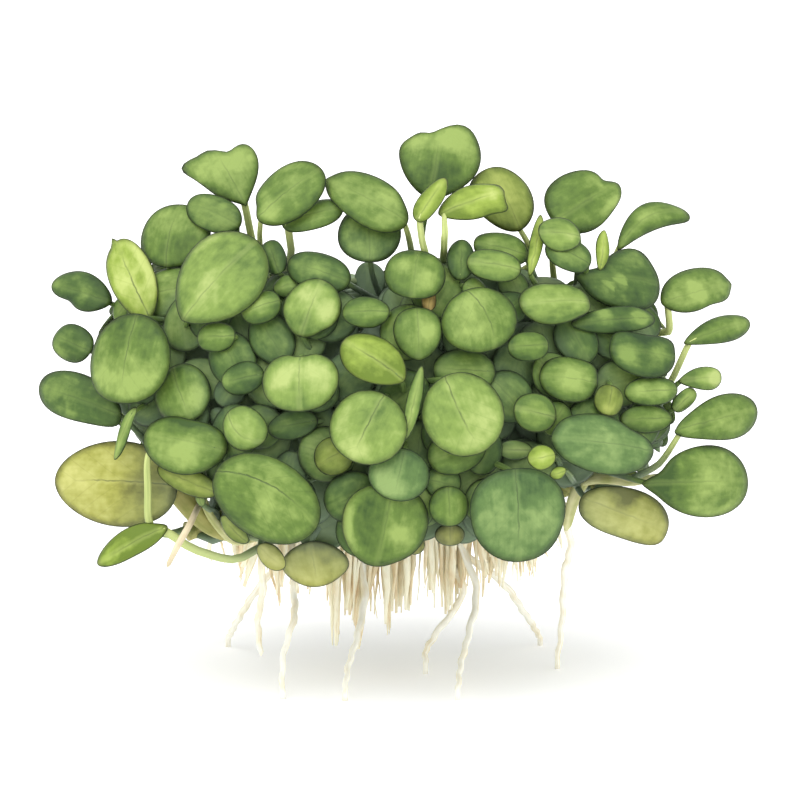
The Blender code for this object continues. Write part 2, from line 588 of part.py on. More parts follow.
clear_scene()
anubias = new_collection("anubias")
cutters = new_collection("small_leaves")
branches, branch_skins, rhizome_buds = make_rhizome(anubias)
make_leaves(anubias, cutters, branches, branch_skins, rhizome_buds)
make_roots(anubias)
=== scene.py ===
# A cushion of dwarf, round-leaved anubias on its beard of roots: the looks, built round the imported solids.
# Lengths are in millimetres, and become metres where a piece is finished.
import math
import random
from collections import namedtuple
from functools import partial

import bmesh
import bpy
from mathutils import Matrix, Vector
from mathutils.bvhtree import BVHTree
from mathutils.kdtree import KDTree


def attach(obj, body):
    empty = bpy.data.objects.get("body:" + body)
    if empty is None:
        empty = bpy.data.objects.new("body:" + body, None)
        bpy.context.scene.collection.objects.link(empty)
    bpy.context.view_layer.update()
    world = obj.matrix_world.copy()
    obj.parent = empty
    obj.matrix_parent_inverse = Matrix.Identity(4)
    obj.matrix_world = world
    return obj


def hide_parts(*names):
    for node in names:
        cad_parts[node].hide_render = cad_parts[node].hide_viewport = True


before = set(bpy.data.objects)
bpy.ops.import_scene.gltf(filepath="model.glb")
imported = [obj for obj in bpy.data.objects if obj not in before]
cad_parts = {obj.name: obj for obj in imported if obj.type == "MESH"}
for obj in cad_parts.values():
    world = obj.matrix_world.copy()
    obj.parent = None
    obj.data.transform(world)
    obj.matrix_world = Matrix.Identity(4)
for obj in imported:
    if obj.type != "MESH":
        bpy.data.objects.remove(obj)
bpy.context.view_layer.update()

# The view.
# The plant is laid out as it is seen, across and up, from 10 degrees above level and a metre away, and at a
# depth towards the viewer. The camera stands where that view is taken from.
MM = 0.001
VIEW_ELEVATION = math.radians(10.0)
VIEW_DISTANCE = 1000.0
VIEW_MIDDLE_ACROSS = 0.3
VIEW_MIDDLE_UP = 42.0
VIEW_WIDTH = 120.0
SURFACE_UP = 1.5
VIEW_SHIFT = Vector((0.07, 1.33, 0.0))
SENSOR = 36.0
CLIP_END = 20.0
SINE = math.sin(VIEW_ELEVATION)
COSINE = math.cos(VIEW_ELEVATION)
# A view's directions, and the dome that the cushion shows there: how far it stands out, how high its middle
# is, and how far it reaches above and below that.
View = namedtuple("View", "across upward toward half_depth middle_up rise drop")
FRONT = View(Vector((1, 0, 0)), Vector((0, SINE, COSINE)), Vector((0, -COSINE, SINE)),
             44.0, 28.0, 60.0, 30.0)
BACK = View(Vector((-1, 0, 0)), Vector((0, -SINE, COSINE)), Vector((0, COSINE, SINE)),
            42.0, 24.0, 38.0, 30.0)


def view_point(view, across, up, depth):
    """The place that is seen at (across, up) and stands depth in front of the plant's middle."""
    scale = 1.0 - depth / VIEW_DISTANCE
    height = VIEW_MIDDLE_UP + (up - VIEW_MIDDLE_UP) * scale - SURFACE_UP
    return VIEW_SHIFT + view.across * (across * scale) + view.upward * height + view.toward * depth


def seen_at(point):
    """Where a place is seen from the front, across and up."""
    own = point - VIEW_SHIFT
    scale = 1.0 - own.dot(FRONT.toward) / VIEW_DISTANCE
    height = own.dot(FRONT.upward) + SURFACE_UP
    return own.dot(FRONT.across) / scale, VIEW_MIDDLE_UP + (height - VIEW_MIDDLE_UP) / scale


def surface_point(across, up):
    """The place on the surface that is seen from the front at (across, up)."""
    near = view_point(FRONT, across, up, 0.0)
    far = view_point(FRONT, across, up, 1.0)
    return near + (far - near) * (near.z / (near.z - far.z))


def new_object(name, data):
    """An object, linked to the scene."""
    thing = bpy.data.objects.new(name, data)
    bpy.context.scene.collection.objects.link(thing)
    return thing


lens = bpy.data.cameras.new("camera")
lens.sensor_width = SENSOR
lens.lens = SENSOR * VIEW_DISTANCE / VIEW_WIDTH
lens.clip_end = CLIP_END
camera = new_object("camera", lens)
axes = Matrix((FRONT.across, FRONT.upward, FRONT.toward)).transposed().to_4x4()
stand = view_point(FRONT, VIEW_MIDDLE_ACROSS, VIEW_MIDDLE_UP, 0.0) + FRONT.toward * VIEW_DISTANCE
camera.matrix_world = Matrix.Translation(stand * MM) @ axes
bpy.context.scene.camera = camera

# The rhizome.
# The creeping stem: olive-brown, fleshy, ringed where old leaves stood, and forked. It lies deep inside the
# cushion and every petiole and root grows from it.
RHIZOME_SPACING = 1.1
RHIZOME_SWELL = 0.1
RHIZOME_SIDES = 20
RHIZOME_RIDGE = 0.6
RHIZOME_END = 0.5
RHIZOME_START_SHARE = 0.3
RHIZOME_TIP_SHARE = 0.45
FEWEST_STEPS = 3
BUD_SPACING = 1.7
BUD_TURNS = 8
BUD_REFERENCE = Vector((0.31, 0.17, 0.94))
BUD_ROOTING = 0.9
BUD_GAP = 0.3
CURVE_END = 0.000001
MERGE = 0.0001
FAR_OFF = 9.0
Branch = namedtuple("Branch", "name route radii")
Bud = namedtuple("Bud", "start outward number")
BRANCHES = (
    Branch("rhizome_main",
           ((-31, -13, 24), (-20, -8, 26), (-8, -1, 27), (6, 1, 27), (18, -3, 28), (30, -11, 31)),
           (1.4, 1.9, 2.0, 2.0, 1.8, 1.3)),
    Branch("rhizome_left", ((-20, -4.9, 28.6), (-23.5, 1, 35), (-27, 4, 44), (-28, 4, 52)),
           (1.5, 1.5, 1.3, 1.0)),
    Branch("rhizome_right", ((18.5, 0.2, 30.1), (23, 5, 36), (27, 7, 44), (28, 6, 53)),
           (1.5, 1.5, 1.3, 1.0)),
    Branch("rhizome_front", ((2.0, -2.5, 28.0), (1.0, -11, 31), (-1, -17, 38), (-2, -17, 46)),
           (1.5, 1.5, 1.3, 1.0)),
    Branch("rhizome_back", ((4.0, 4.3, 28.0), (4, 13, 32), (2, 20, 39), (1, 21, 47)), (1.5, 1.5, 1.3, 1.0)),
    Branch("rhizome_crown", ((-5, 0.3, 30.6), (-4, 1, 40), (-1, 1, 50), (1, 1, 58)), (1.6, 1.6, 1.4, 1.0)),
)


def spline(stations, share):
    """A point and a direction on a smooth curve through (point, tangent) stations."""
    spans = len(stations) - 1
    place = min(share * spans, spans - CURVE_END)
    span = int(place)
    s = place - span
    start, leave = stations[span]
    end, arrive = stations[span + 1]
    point = (start * (2 * s ** 3 - 3 * s ** 2 + 1) + leave * (s ** 3 - 2 * s ** 2 + s)
             + end * (3 * s ** 2 - 2 * s ** 3) + arrive * (s ** 3 - s ** 2))
    slope = (start * (6 * s ** 2 - 6 * s) + leave * (3 * s ** 2 - 4 * s + 1)
             + end * (6 * s - 6 * s ** 2) + arrive * (3 * s ** 2 - 2 * s))
    return point, slope.normalized()


def smooth_points(route, values, spacing):
    """Evenly spaced (point, direction, value) on a smooth curve through a route."""
    corners = [Vector(point) for point in route]
    stations = []
    for index, point in enumerate(corners):
        before = corners[max(index - 1, 0)]
        after = corners[min(index + 1, len(corners) - 1)]
        share = 1.0 if 0 < index < len(corners) - 1 else 2.0
        stations.append((point, (after - before) * 0.5 * share))
    length = sum((b - a).length for a, b in zip(corners, corners[1:]))
    count = max(int(round(length / spacing)), FEWEST_STEPS)
    result = []
    for step in range(count + 1):
        share = step / count
        point, along = spline(stations, share)
        place = share * (len(values) - 1)
        low = min(int(place), len(values) - 2)
        value = values[low] + (values[low + 1] - values[low]) * (place - low)
        result.append((point, along, value))
    return result


# How deep a place lies in the cushion, from under its surface on, is how much painted shade darkens it, but
# not at the cushion's foot and top. The surface is a dome to each view, and a rounded shell about the whole.
CUSHION_HALF_WIDTH = 57.0
LEAST_DOME = 0.01
SHADE_START = 1.5
SHADE_END = 9.0
SHADE_FOOT = 17.0
SHADE_TOP = 71.0
SHADE_RISE = 10.0
SHELL_MIDDLE = Vector((0.0, 2.0, 41.0))
SHELL_SIZE = Vector((50.0, 35.0, 34.0))
FRONT_PART = 8.0
FRONT_SLOPE = 2.0
SHELL_SLACK = 8.0


def dome_depth(view, across, up):
    """How far the cushion's surface stands out where it is seen at (across, up)."""
    reach = view.rise if up > view.middle_up else view.drop
    rest = 1.0 - (across / CUSHION_HALF_WIDTH) ** 2 - ((up - view.middle_up) / reach) ** 2
    return view.half_depth * math.sqrt(max(rest, LEAST_DOME))


def depth_inside(point):
    """How far inside the cushion's surface a place lies."""
    own = point - VIEW_SHIFT
    across, up = seen_at(point)
    depth = own.dot(FRONT.toward)
    rounded = Vector((point[axis] - SHELL_MIDDLE[axis]) / SHELL_SIZE[axis] for axis in range(3))
    in_shell = (1.0 - rounded.length) * SHELL_SIZE.y + max(-point.y - FRONT_PART, 0.0) * FRONT_SLOPE
    in_back = dome_depth(BACK, across, up) + depth
    return min(dome_depth(FRONT, across, up) - depth, min(in_back, in_shell) - SHELL_SLACK)


def new_shape():
    """An empty mesh that carries what the finishes read."""
    shape = bmesh.new()
    # One layer carries each piece's own tone and, on leaves and petioles, painted highlights and shade.
    for name in ("midrib", "along", "margin", "tone_and_painted_light", "under", "shade", "vein"):
        shape.verts.layers.float.new(name)
    shape.verts.layers.float_vector.new("skin")
    return shape


def add_tube(shape, stations, sides, material=0, tone_and_painted_light=0.0):
    """A closed tube through (point, radius) stations: a grid that is rolled round the route."""
    layers = shape.verts.layers
    skin = layers.float_vector["skin"]
    last = len(stations) - 1
    verts = bmesh.ops.create_grid(shape, x_segments=sides, y_segments=last, size=1.0)["verts"]
    rows = []
    side = None
    length = 0.0
    for index, (point, radius) in enumerate(stations):
        ahead = stations[min(index + 1, last)][0]
        behind = stations[max(index - 1, 0)][0]
        along = (ahead - behind).normalized()
        if side is None:
            side = along.orthogonal()
        side = (side - along * side.dot(along)).normalized()
        length += (point - behind).length if index else 0.0
        rows.append((point, radius, side, along.cross(side), length))
    for vert in verts:
        turn = (vert.co.x + 1.0) * math.pi
        row = int(round((vert.co.y + 1.0) / 2.0 * last))
        point, radius, side, upward, length = rows[row]
        vert[skin] = Vector((math.cos(turn), math.sin(turn), length))
        vert[layers.float["along"]] = row / last
        vert[layers.float["midrib"]] = FAR_OFF
        vert[layers.float["margin"]] = FAR_OFF
        vert[layers.float["tone_and_painted_light"]] = tone_and_painted_light
        vert.co = point + (side * math.cos(turn) + upward * math.sin(turn)) * radius
    for vert in verts:
        for face in vert.link_faces:
            face.material_index = material


def turn_outward(shape):
    """Turn the faces of each closed shell outward, by the sign of its volume."""
    bmesh.ops.recalc_face_normals(shape, faces=shape.faces)
    shape.normal_update()
    for face in shape.faces:
        face.tag = False
    for first in shape.faces:
        if first.tag:
            continue
        first.tag = True
        shell = [first]
        for face in shell:
            for near in [other for edge in face.edges for other in edge.link_faces if not other.tag]:
                if not near.tag:
                    near.tag = True
                    shell.append(near)
        middle = first.calc_center_median()
        volume = sum((face.calc_center_median() - middle).dot(face.normal) * face.calc_area()
                     for face in shell)
        if volume < 0.0:
            bmesh.ops.reverse_faces(shape, faces=shell)


def finish_piece(name, shape, materials, nodes=()):
    """Close a shape, make it a piece of the plant in metres, and hide the solids that it stands for."""
    bmesh.ops.remove_doubles(shape, verts=shape.verts, dist=MERGE)
    bmesh.ops.holes_fill(shape, edges=[edge for edge in shape.edges if edge.is_boundary], sides=0)
    turn_outward(shape)
    # The shade layer is painted shade: how deep each corner lies in the cushion.
    shade = shape.verts.layers.float["shade"]
    for vert in shape.verts:
        inside = (depth_inside(vert.co) - SHADE_START) / (SHADE_END - SHADE_START)
        within = min(vert.co.z - SHADE_FOOT, SHADE_TOP - vert.co.z) / SHADE_RISE
        vert[shade] = min(max(inside, 0.0), 1.0) * min(max(within, 0.0), 1.0)
    bmesh.ops.scale(shape, vec=Vector((MM, MM, MM)), verts=shape.verts)
    mesh = bpy.data.meshes.new(name)
    shape.to_mesh(mesh)
    shape.free()
    mesh.shade_smooth()
    for material in materials:
        mesh.materials.append(material)
    piece = new_object(name, mesh)
    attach(piece, "root")
    if nodes:
        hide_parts(*nodes)


def feed(tree, socket, value):
    """Give a socket another socket's output or a plain value."""
    if isinstance(value, bpy.types.NodeSocket):
        tree.links.new(value, socket)
    else:
        socket.default_value = value


def new_finish(name, roughness, specular):
    """A material and its tree, with the constant values set on the shader."""
    material = bpy.data.materials.new(name)
    material.use_nodes = True
    shader = material.node_tree.nodes["Principled BSDF"]
    shader.inputs["Roughness"].default_value = roughness
    shader.inputs["Specular IOR Level"].default_value = specular
    return material, material.node_tree, shader


def read(tree, name, output="Fac"):
    """What a mesh's own attribute says."""
    reader = tree.nodes.new("ShaderNodeAttribute")
    reader.attribute_name = name
    return reader.outputs[output]


def calc(tree, operation, first, second=0.0, third=0.0):
    """One sum."""
    sum_node = tree.nodes.new("ShaderNodeMath")
    sum_node.operation = operation
    for socket, value in zip(sum_node.inputs, (first, second, third)):
        feed(tree, socket, value)
    return sum_node.outputs["Value"]


def fade(tree, value, low, high, start=0.0, end=1.0):
    """A smooth change from start to end while the value goes from low to high."""
    step = tree.nodes.new("ShaderNodeMapRange")
    step.interpolation_type = "SMOOTHSTEP"
    for name, given in (("Value", value), ("From Min", low), ("From Max", high), ("To Min", start),
                        ("To Max", end)):
        feed(tree, step.inputs[name], given)
    return step.outputs["Result"]


def mottle(tree, size, detail=2.0, place=None):
    """Cloudy spots of this size in millimetres, around 0."""
    noise = tree.nodes.new("ShaderNodeTexNoise")
    noise.inputs["Detail"].default_value = detail
    if place is None:
        place = tree.nodes.new("ShaderNodeTexCoord").outputs["Object"]
        noise.inputs["Scale"].default_value = 1.0 / (size * MM)
    else:
        noise.inputs["Scale"].default_value = 1.0 / size
    feed(tree, noise.inputs["Vector"], place)
    return calc(tree, "SUBTRACT", noise.outputs["Fac"], 0.5)


def mix_colour(tree, share, first, second):
    """Two colours mixed."""
    mixer = tree.nodes.new("ShaderNodeMix")
    mixer.data_type = "RGBA"
    colours = [socket for socket in mixer.inputs if socket.type == "RGBA"]
    feed(tree, mixer.inputs[0], share)
    for socket, value in zip(colours, (first, second)):
        feed(tree, socket, value if isinstance(value, bpy.types.NodeSocket) else (*value, 1.0))
    return next(socket for socket in mixer.outputs if socket.type == "RGBA")


def washes(tree, value, stops):
    """Colours along a value from 0 to 1."""
    ramp = tree.nodes.new("ShaderNodeValToRGB")
    band = ramp.color_ramp
    while len(band.elements) < len(stops):
        band.elements.new(0.5)
    for element, (place, colour) in zip(band.elements, stops):
        element.position = place
        element.color = (*colour, 1.0)
    feed(tree, ramp.inputs["Fac"], value)
    return ramp.outputs["Color"]


def rough_surface(tree, shader, height, depth):
    """Relief, in millimetres, in the finish."""
    bump = tree.nodes.new("ShaderNodeBump")
    bump.inputs["Distance"].default_value = depth * MM
    feed(tree, bump.inputs["Height"], height)
    tree.links.new(bump.outputs["Normal"], shader.inputs["Normal"])


def rhizome_finish():
    """Olive-brown stem skin with pale scars round it."""
    material, tree, shader = new_finish("rhizome_skin", 0.6, 0.25)
    length = tree.nodes.new("ShaderNodeSeparateXYZ")
    feed(tree, length.inputs[0], read(tree, "skin", "Vector"))
    wander = calc(tree, "MULTIPLY", mottle(tree, 2.0), 1.6)
    rings = calc(tree, "PINGPONG", calc(tree, "ADD", length.outputs["Z"], wander), 1.1)
    scar = fade(tree, rings, 0.0, 0.35, 1.0, 0.0)
    tone = calc(tree, "ADD", mottle(tree, 1.5), calc(tree, "MULTIPLY_ADD", mottle(tree, 5.0), 1.2, 0.5))
    skin = washes(tree, tone, ((0.2, (0.060, 0.075, 0.022)), (0.5, (0.185, 0.200, 0.055)),
                               (0.8, (0.420, 0.400, 0.150))))
    colour = mix_colour(tree, calc(tree, "MULTIPLY", scar, 0.55), skin, (0.480, 0.380, 0.200))
    feed(tree, shader.inputs["Base Color"], colour)
    rough_surface(tree, shader, calc(tree, "ADD", scar, mottle(tree, 0.6)), 0.25)
    return material


rhizome_skin = rhizome_finish()
buds = []
for branch in BRANCHES:
    shape = new_shape()
    rings = smooth_points(branch.route, branch.radii, RHIZOME_SPACING)
    stations = [(rings[0][0] - rings[0][1] * RHIZOME_END, RHIZOME_START_SHARE * rings[0][2])]
    for index, (point, along, radius) in enumerate(rings):
        stations.append((point, radius * (1.0 + RHIZOME_SWELL * (-1) ** index * RHIZOME_RIDGE)))
    stations.append((rings[-1][0] + rings[-1][1] * RHIZOME_END, RHIZOME_TIP_SHARE * rings[-1][2]))
    add_tube(shape, stations, RHIZOME_SIDES)
    finish_piece(branch.name + "_skin", shape, [rhizome_skin], [branch.name])
    for point, along, radius in smooth_points(branch.route, branch.radii, BUD_SPACING)[1:]:
        square = along.cross(BUD_REFERENCE).normalized()
        other = along.cross(square)
        for turn in range(BUD_TURNS):
            angle = 2.0 * math.pi * turn / BUD_TURNS
            outward = square * math.cos(angle) + other * math.sin(angle)
            clear = radius * (1.0 + RHIZOME_SWELL) + BUD_GAP
            buds.append(Bud(point + outward * clear, outward, len(buds)))

# The roots.
# Long pale roots, cream to tan, that leave the underside of the rhizome and stand on the surface. The solids
# hold the eight long ones; the fine beard between them is added here.
ROOT_RADIUS = 0.62
ROOT_TIP_RADIUS = 0.42
ROOT_FOOT_LENGTH = 1.2
ROOT_COLLAR = 0.45
ROOT_COLLAR_STEP = 0.6
ROOT_COLLAR_SWELL = 1.35
ROOT_END_STEP = 0.6
ROOT_END_RADIUS = 0.12
ROOT_SIDES = 12
ROOT_SPACING = 0.9
ROOT_WAVE = 0.12
ROOT_UNEVENNESS = 0.08
ROOT_WASH = 0.1
Root = namedtuple("Root", "name leaves_at route end_depth", defaults=(None,))
ROOTS = (
    Root("root_front_left", 0.27, ((-15.6, 13.5), (-15.6, 9.4), (-17.1, 4.0), (-17.4, -2.8))),
    Root("root_front_middle", 0.42, ((-5.0, 14.0), (-6.0, 7.0), (-7.4, 2.2), (-8.0, -3.1))),
    Root("root_front_right", 0.62, ((11.6, 14.5), (10.6, 7.0), (9.4, 2.2), (9.0, -2.9))),
    Root("root_middle", 0.54, ((9.6, 14.5), (6.0, 7.4), (4.2, 4.5), (4.2, 0.9))),
    Root("root_right", 0.90, ((25.9, 20.5), (25.0, 16.3), (24.6, 8.9), (23.9, 1.7))),
    Root("root_left_short", 0.19, ((-20.3, 13.8), (-21.0, 9.0), (-20.6, 4.2)), 9.0),
    Root("root_back_left", 0.35, ((-20.0, 15.0), (-24.0, 9.0), (-25.5, 5.0))),
    Root("root_back_right", 0.50, ((14.0, 16.0), (19.0, 10.0), (21.3, 5.2))),
)
BEARD_STRANDS = 70
BEARD_SIDES = 7
BEARD_STEPS = 9
BEARD_SEED = 7
BEARD_TURN = 1.1
BEARD_ROOTING = 0.2
BEARD_LEAST_DROP = 5.0
BEARD_LOWEST = 0.8
BEARD_SPREADS = (1.0, 5.0)
BEARD_BOWS = (0.4, 1.6)
BEARD_WASHES = (-0.15, 0.3)
BEARD_WAVE = 0.13
BEARD_LEAVING = 1.2
BEARD_SAG = 0.8
BEARD_TAPER = 0.9
STRAND_LEAN = 1.5
STRAND_UNEVENNESS = 2.5
STRAND_RADII = (0.2, 0.3, 0.4)
STRAND_BLUNTNESS = 0.3
BEARD_START = -27.0
BEARD_WIDTH = 52.0
BEARD_LEFT = -9.0
BEARD_RIGHT = 13.0
# How low the beard hangs, as seen: places across, and up there.
BEARD_ENDS = ((-29.0, 19.0), (-22.0, 15.0), (-14.7, 14.0), (-9.5, 9.0), (-2.7, 9.0), (4.0, 12.0),
              (7.0, 11.0), (11.5, 13.0), (18.3, 15.5), (22.0, 17.0), (26.0, 21.0))
TUFT_STRANDS = 7
TUFT_UNEVENNESS = 2.4
TUFT_RADII = (0.35, 0.5, 0.7)
TUFT_BLUNTNESS = 0.25
# Where its denser tufts hang: across at the stem, across and up at the ends, and how far a tuft spreads to
# either side at the stem and at the ends.
TUFTS = (
    (-22.5, -23.4, 13.6, 0.8, 0.4), (-18.6, -17.8, 10.8, 1.2, 0.5), (-14.7, -14.4, 12.4, 1.4, 1.0),
    (-9.3, -9.3, 4.8, 0.9, 0.5), (-7.2, -7.4, 8.4, 0.9, 0.6), (-5.5, -6.1, 4.2, 2.2, 0.3),
    (-3.6, -5.2, 9.0, 1.4, 0.5), (-1.6, -1.4, 6.2, 1.1, 0.6), (0.0, 0.1, 9.3, 0.9, 0.6),
    (1.8, 1.4, 10.0, 1.2, 0.7), (5.7, 5.8, 10.5, 1.5, 1.0), (7.9, 7.6, 9.6, 1.2, 0.6),
    (9.8, 9.2, 12.0, 1.1, 0.7), (13.6, 13.2, 12.3, 1.3, 0.7), (15.6, 15.2, 13.5, 1.1, 0.6),
    (18.3, 18.2, 14.4, 1.0, 0.7), (20.3, 20.1, 15.4, 0.8, 0.5),
)


def streaks(tree, size, detail, scale):
    """Cloudy spots, drawn out along the skin."""
    stretch = tree.nodes.new("ShaderNodeMapping")
    stretch.inputs["Scale"].default_value = scale
    feed(tree, stretch.inputs["Vector"], read(tree, "skin", "Vector"))
    return mottle(tree, size, detail, stretch.outputs["Vector"])


def root_finish(name, stops):
    """Pale root skin, streaked along its length."""
    material, tree, shader = new_finish(name, 0.65, 0.2)
    lines = streaks(tree, 0.8, 3.0, (1.0, 1.0, 0.12))
    tone = calc(tree, "ADD", lines, calc(tree, "MULTIPLY_ADD", mottle(tree, 3.0), 1.1, 0.5))
    tone = calc(tree, "ADD", tone, read(tree, "tone_and_painted_light"))
    feed(tree, shader.inputs["Base Color"], washes(tree, tone, stops))
    rough_surface(tree, shader, lines, 0.12)
    return material


root_skin = root_finish("root_skin", ((0.05, (0.600, 0.480, 0.300)), (0.35, (0.840, 0.760, 0.560)),
                                      (0.7, (0.950, 0.930, 0.820))))
main = BRANCHES[0]
stem = smooth_points(main.route, main.radii, RHIZOME_SPACING)


def under_stem(share, turn, clear):
    """A place on the underside of the main rhizome, turned from straight down, and the way out of it."""
    point, along, radius = stem[int(round(share * (len(stem) - 1)))]
    sideways = along.cross(Vector((0, 0, 1))).normalized()
    outward = sideways * math.sin(turn) - Vector((0, 0, 1)) * math.cos(turn)
    return point + outward * (radius + clear), outward


for number, root in enumerate(ROOTS):
    start, outward = under_stem(root.leaves_at, 0.0, ROOT_COLLAR)
    if root.end_depth is None:
        end = surface_point(*root.route[-1])
        end.z = ROOT_FOOT_LENGTH
    else:
        end = view_point(FRONT, *root.route[-1], root.end_depth)
    corners = [start]
    for index, (across, up) in enumerate(root.route[:-1]):
        depth = (start + (end - start) * ((index + 1) / len(root.route))).dot(FRONT.toward)
        corners.append(view_point(FRONT, across, up, depth))
    corners.append(end)
    stations = []
    for index, (point, along, radius) in enumerate(smooth_points(corners, (ROOT_RADIUS, ROOT_TIP_RADIUS),
                                                                 ROOT_SPACING)):
        sway = Vector((math.sin(index * 1.3 + number), math.cos(index * 0.9 + number), 0.0)) * ROOT_WAVE
        stations.append((point + sway, radius * (1.0 + ROOT_UNEVENNESS * math.sin(index * 2.1 + number))))
    stations[0] = (start + outward * ROOT_COLLAR_STEP, ROOT_RADIUS * ROOT_COLLAR_SWELL)
    if root.end_depth is None:
        foot = Vector((stations[-1][0].x, stations[-1][0].y, 0.0))
        stations.append((foot, ROOT_TIP_RADIUS))
    else:
        stations.append((end + (end - corners[-2]).normalized() * ROOT_END_STEP, ROOT_END_RADIUS))
    shape = new_shape()
    add_tube(shape, stations, ROOT_SIDES, 0, ROOT_WASH)
    finish_piece(root.name + "_skin", shape, [root_skin], [root.name])


def level(table, place):
    """A value read between the rows of a table."""
    for (low, first), (high, second) in zip(table, table[1:]):
        if place <= high:
            return first + (second - first) * max(place - low, 0.0) / (high - low)
    return table[-1][1]


beard_skin = root_finish("beard_skin", ((0.05, (0.680, 0.490, 0.290)), (0.35, (0.870, 0.740, 0.500)),
                                        (0.7, (0.960, 0.920, 0.720))))
draw = random.Random(BEARD_SEED)
beards = {"left": new_shape(), "middle": new_shape(), "right": new_shape()}
stem_places = [(seen_at(station[0])[0], index / (len(stem) - 1)) for index, station in enumerate(stem)]


def either_way(amount):
    """A random number of at most this amount, either way."""
    return draw.uniform(-amount, amount)


def add_fine_root(across, end_across, low, thick, blunt):
    """A fine root from the stem to its end, waved a little."""
    share = level(stem_places, across)
    start, outward = under_stem(share, either_way(BEARD_TURN), -BEARD_ROOTING)
    up = seen_at(start)[1]
    depth = start.dot(FRONT.toward) + outward.dot(FRONT.toward) * draw.uniform(*BEARD_SPREADS)
    end = view_point(FRONT, end_across, min(low, up - BEARD_LEAST_DROP), depth)
    end.z = max(end.z, BEARD_LOWEST)
    middle = (start + end) / 2.0 + outward * draw.uniform(*BEARD_BOWS)
    bent = start + outward * BEARD_LEAVING - Vector((0, 0, BEARD_SAG))
    corners = (start, bent, middle, end)
    radii = (thick, thick, thick * BEARD_TAPER, thick * blunt)
    stations = []
    spacing = (end - start).length / BEARD_STEPS
    for index, (point, along, radius) in enumerate(smooth_points(corners, radii, spacing)):
        sway = Vector((either_way(1.0), either_way(1.0), 0.0)) * BEARD_WAVE
        stations.append((point + (sway if index else Vector()), radius))
    group = "left" if across < BEARD_LEFT else "right" if across > BEARD_RIGHT else "middle"
    add_tube(beards[group], stations, BEARD_SIDES, 0, draw.uniform(*BEARD_WASHES))


for number in range(BEARD_STRANDS):
    across = BEARD_START + BEARD_WIDTH * (number + draw.random()) / BEARD_STRANDS
    low = level(BEARD_ENDS, across) + abs(draw.gauss(0.0, STRAND_UNEVENNESS))
    add_fine_root(across, across + either_way(STRAND_LEAN), low, draw.choice(STRAND_RADII), STRAND_BLUNTNESS)
for across, end_across, low, spread, end_spread in TUFTS:
    for number in range(TUFT_STRANDS):
        place = (number + draw.uniform(0.2, 0.8)) / TUFT_STRANDS * 2.0 - 1.0
        end = low + abs(draw.gauss(0.0, TUFT_UNEVENNESS))
        add_fine_root(across + place * spread, end_across + place * end_spread, end,
                      draw.choice(TUFT_RADII), TUFT_BLUNTNESS)
for group, shape in beards.items():
    finish_piece("fine_roots_" + group, shape, [beard_skin])

# The bits beside the beard.
# At its lower left and right the cushion ends in a short cut root, old bits of stem with their sheaths, and
# a petiole that loops in front of a yellow leaf. All of them come out from under the leaves.
STRAY_SPACING = 0.8
STRAY_WASH = 0.15
STRAY_TIP_SHARE = 0.4
# Painted shade in the cushion's gaps: how far it darkens the petioles, and the colour it darkens them to.
STALK_SHADING = 0.9
PAINTED_SHADE_COLOUR = (0.185, 0.250, 0.180)
Stray = namedtuple("Stray", "name kind places")
# Each is a line of places, across, up and out, with a radius at each.
STRAYS = (
    Stray("white_root_stub", "cut",
          ((-29.8, 26.4, 27.0, 0.45), (-31.2, 23.4, 36.0, 0.5), (-33.0, 20.2, 37.5, 0.5),
           (-34.4, 17.4, 37.0, 0.35))),
    Stray("right_stem_bit", "pale",
          ((29.6, 31.6, 24.0, 0.8), (27.9, 30.0, 24.5, 1.0), (26.4, 27.2, 23.5, 0.95),
           (25.4, 23.4, 20.5, 0.7))),
    Stray("right_sheath", "pale",
          ((27.4, 29.6, 25.0, 0.6), (30.6, 30.3, 26.0, 0.9), (35.4, 29.9, 24.0, 0.8),
           (39.4, 30.6, 20.0, 0.4))),
    Stray("left_stem_bit", "old",
          ((-20.0, 22.5, 12.0, 0.7), (-24.0, 21.6, 20.0, 0.9), (-27.4, 22.7, 24.5, 1.3),
           (-30.4, 25.4, 26.0, 1.8), (-33.4, 29.0, 26.5, 1.9), (-36.0, 32.0, 26.0, 1.2))),
    Stray("left_sheath", "pale",
          ((-20.0, 21.5, 15.0, 0.4), (-24.2, 20.8, 24.0, 0.6), (-26.6, 22.6, 27.0, 0.65),
           (-28.8, 26.0, 28.2, 0.55), (-29.6, 30.6, 28.6, 0.4))),
    Stray("left_loop_petiole", "stalk",
          ((-30.5, 23.0, 17.0, 0.6), (-34.6, 21.9, 26.0, 0.6), (-37.2, 23.4, 31.0, 0.58),
           (-37.5, 28.5, 32.0, 0.55), (-37.3, 34.0, 32.5, 0.5), (-34.5, 36.5, 34.0, 0.45))),
)


def shaded(tree, colour, strength):
    """A colour, darkened towards the painted shade colour where the cushion's gaps would be in shade."""
    shade = calc(tree, "MULTIPLY", read(tree, "shade"), strength)
    return mix_colour(tree, shade, colour, PAINTED_SHADE_COLOUR)


def petiole_finish():
    """Pale green petiole, greener and darker at its foot as painted shade, and streaked along its length."""
    material, tree, shader = new_finish("petiole_skin", 0.5, 0.25)
    lines = streaks(tree, 0.9, 2.0, (1.0, 1.0, 0.1))
    # Darker towards the foot, and by the leaf's own petiole value, as painted shade.
    tone = calc(tree, "ADD", lines, calc(tree, "MULTIPLY_ADD", read(tree, "along"), 0.35, 0.45))
    tone = calc(tree, "ADD", tone, read(tree, "tone_and_painted_light"))
    colour = washes(tree, tone, ((0.0, (0.045, 0.085, 0.024)), (0.4, (0.130, 0.200, 0.045)),
                                 (0.9, (0.440, 0.500, 0.180))))
    feed(tree, shader.inputs["Base Color"], shaded(tree, colour, STALK_SHADING))
    return material


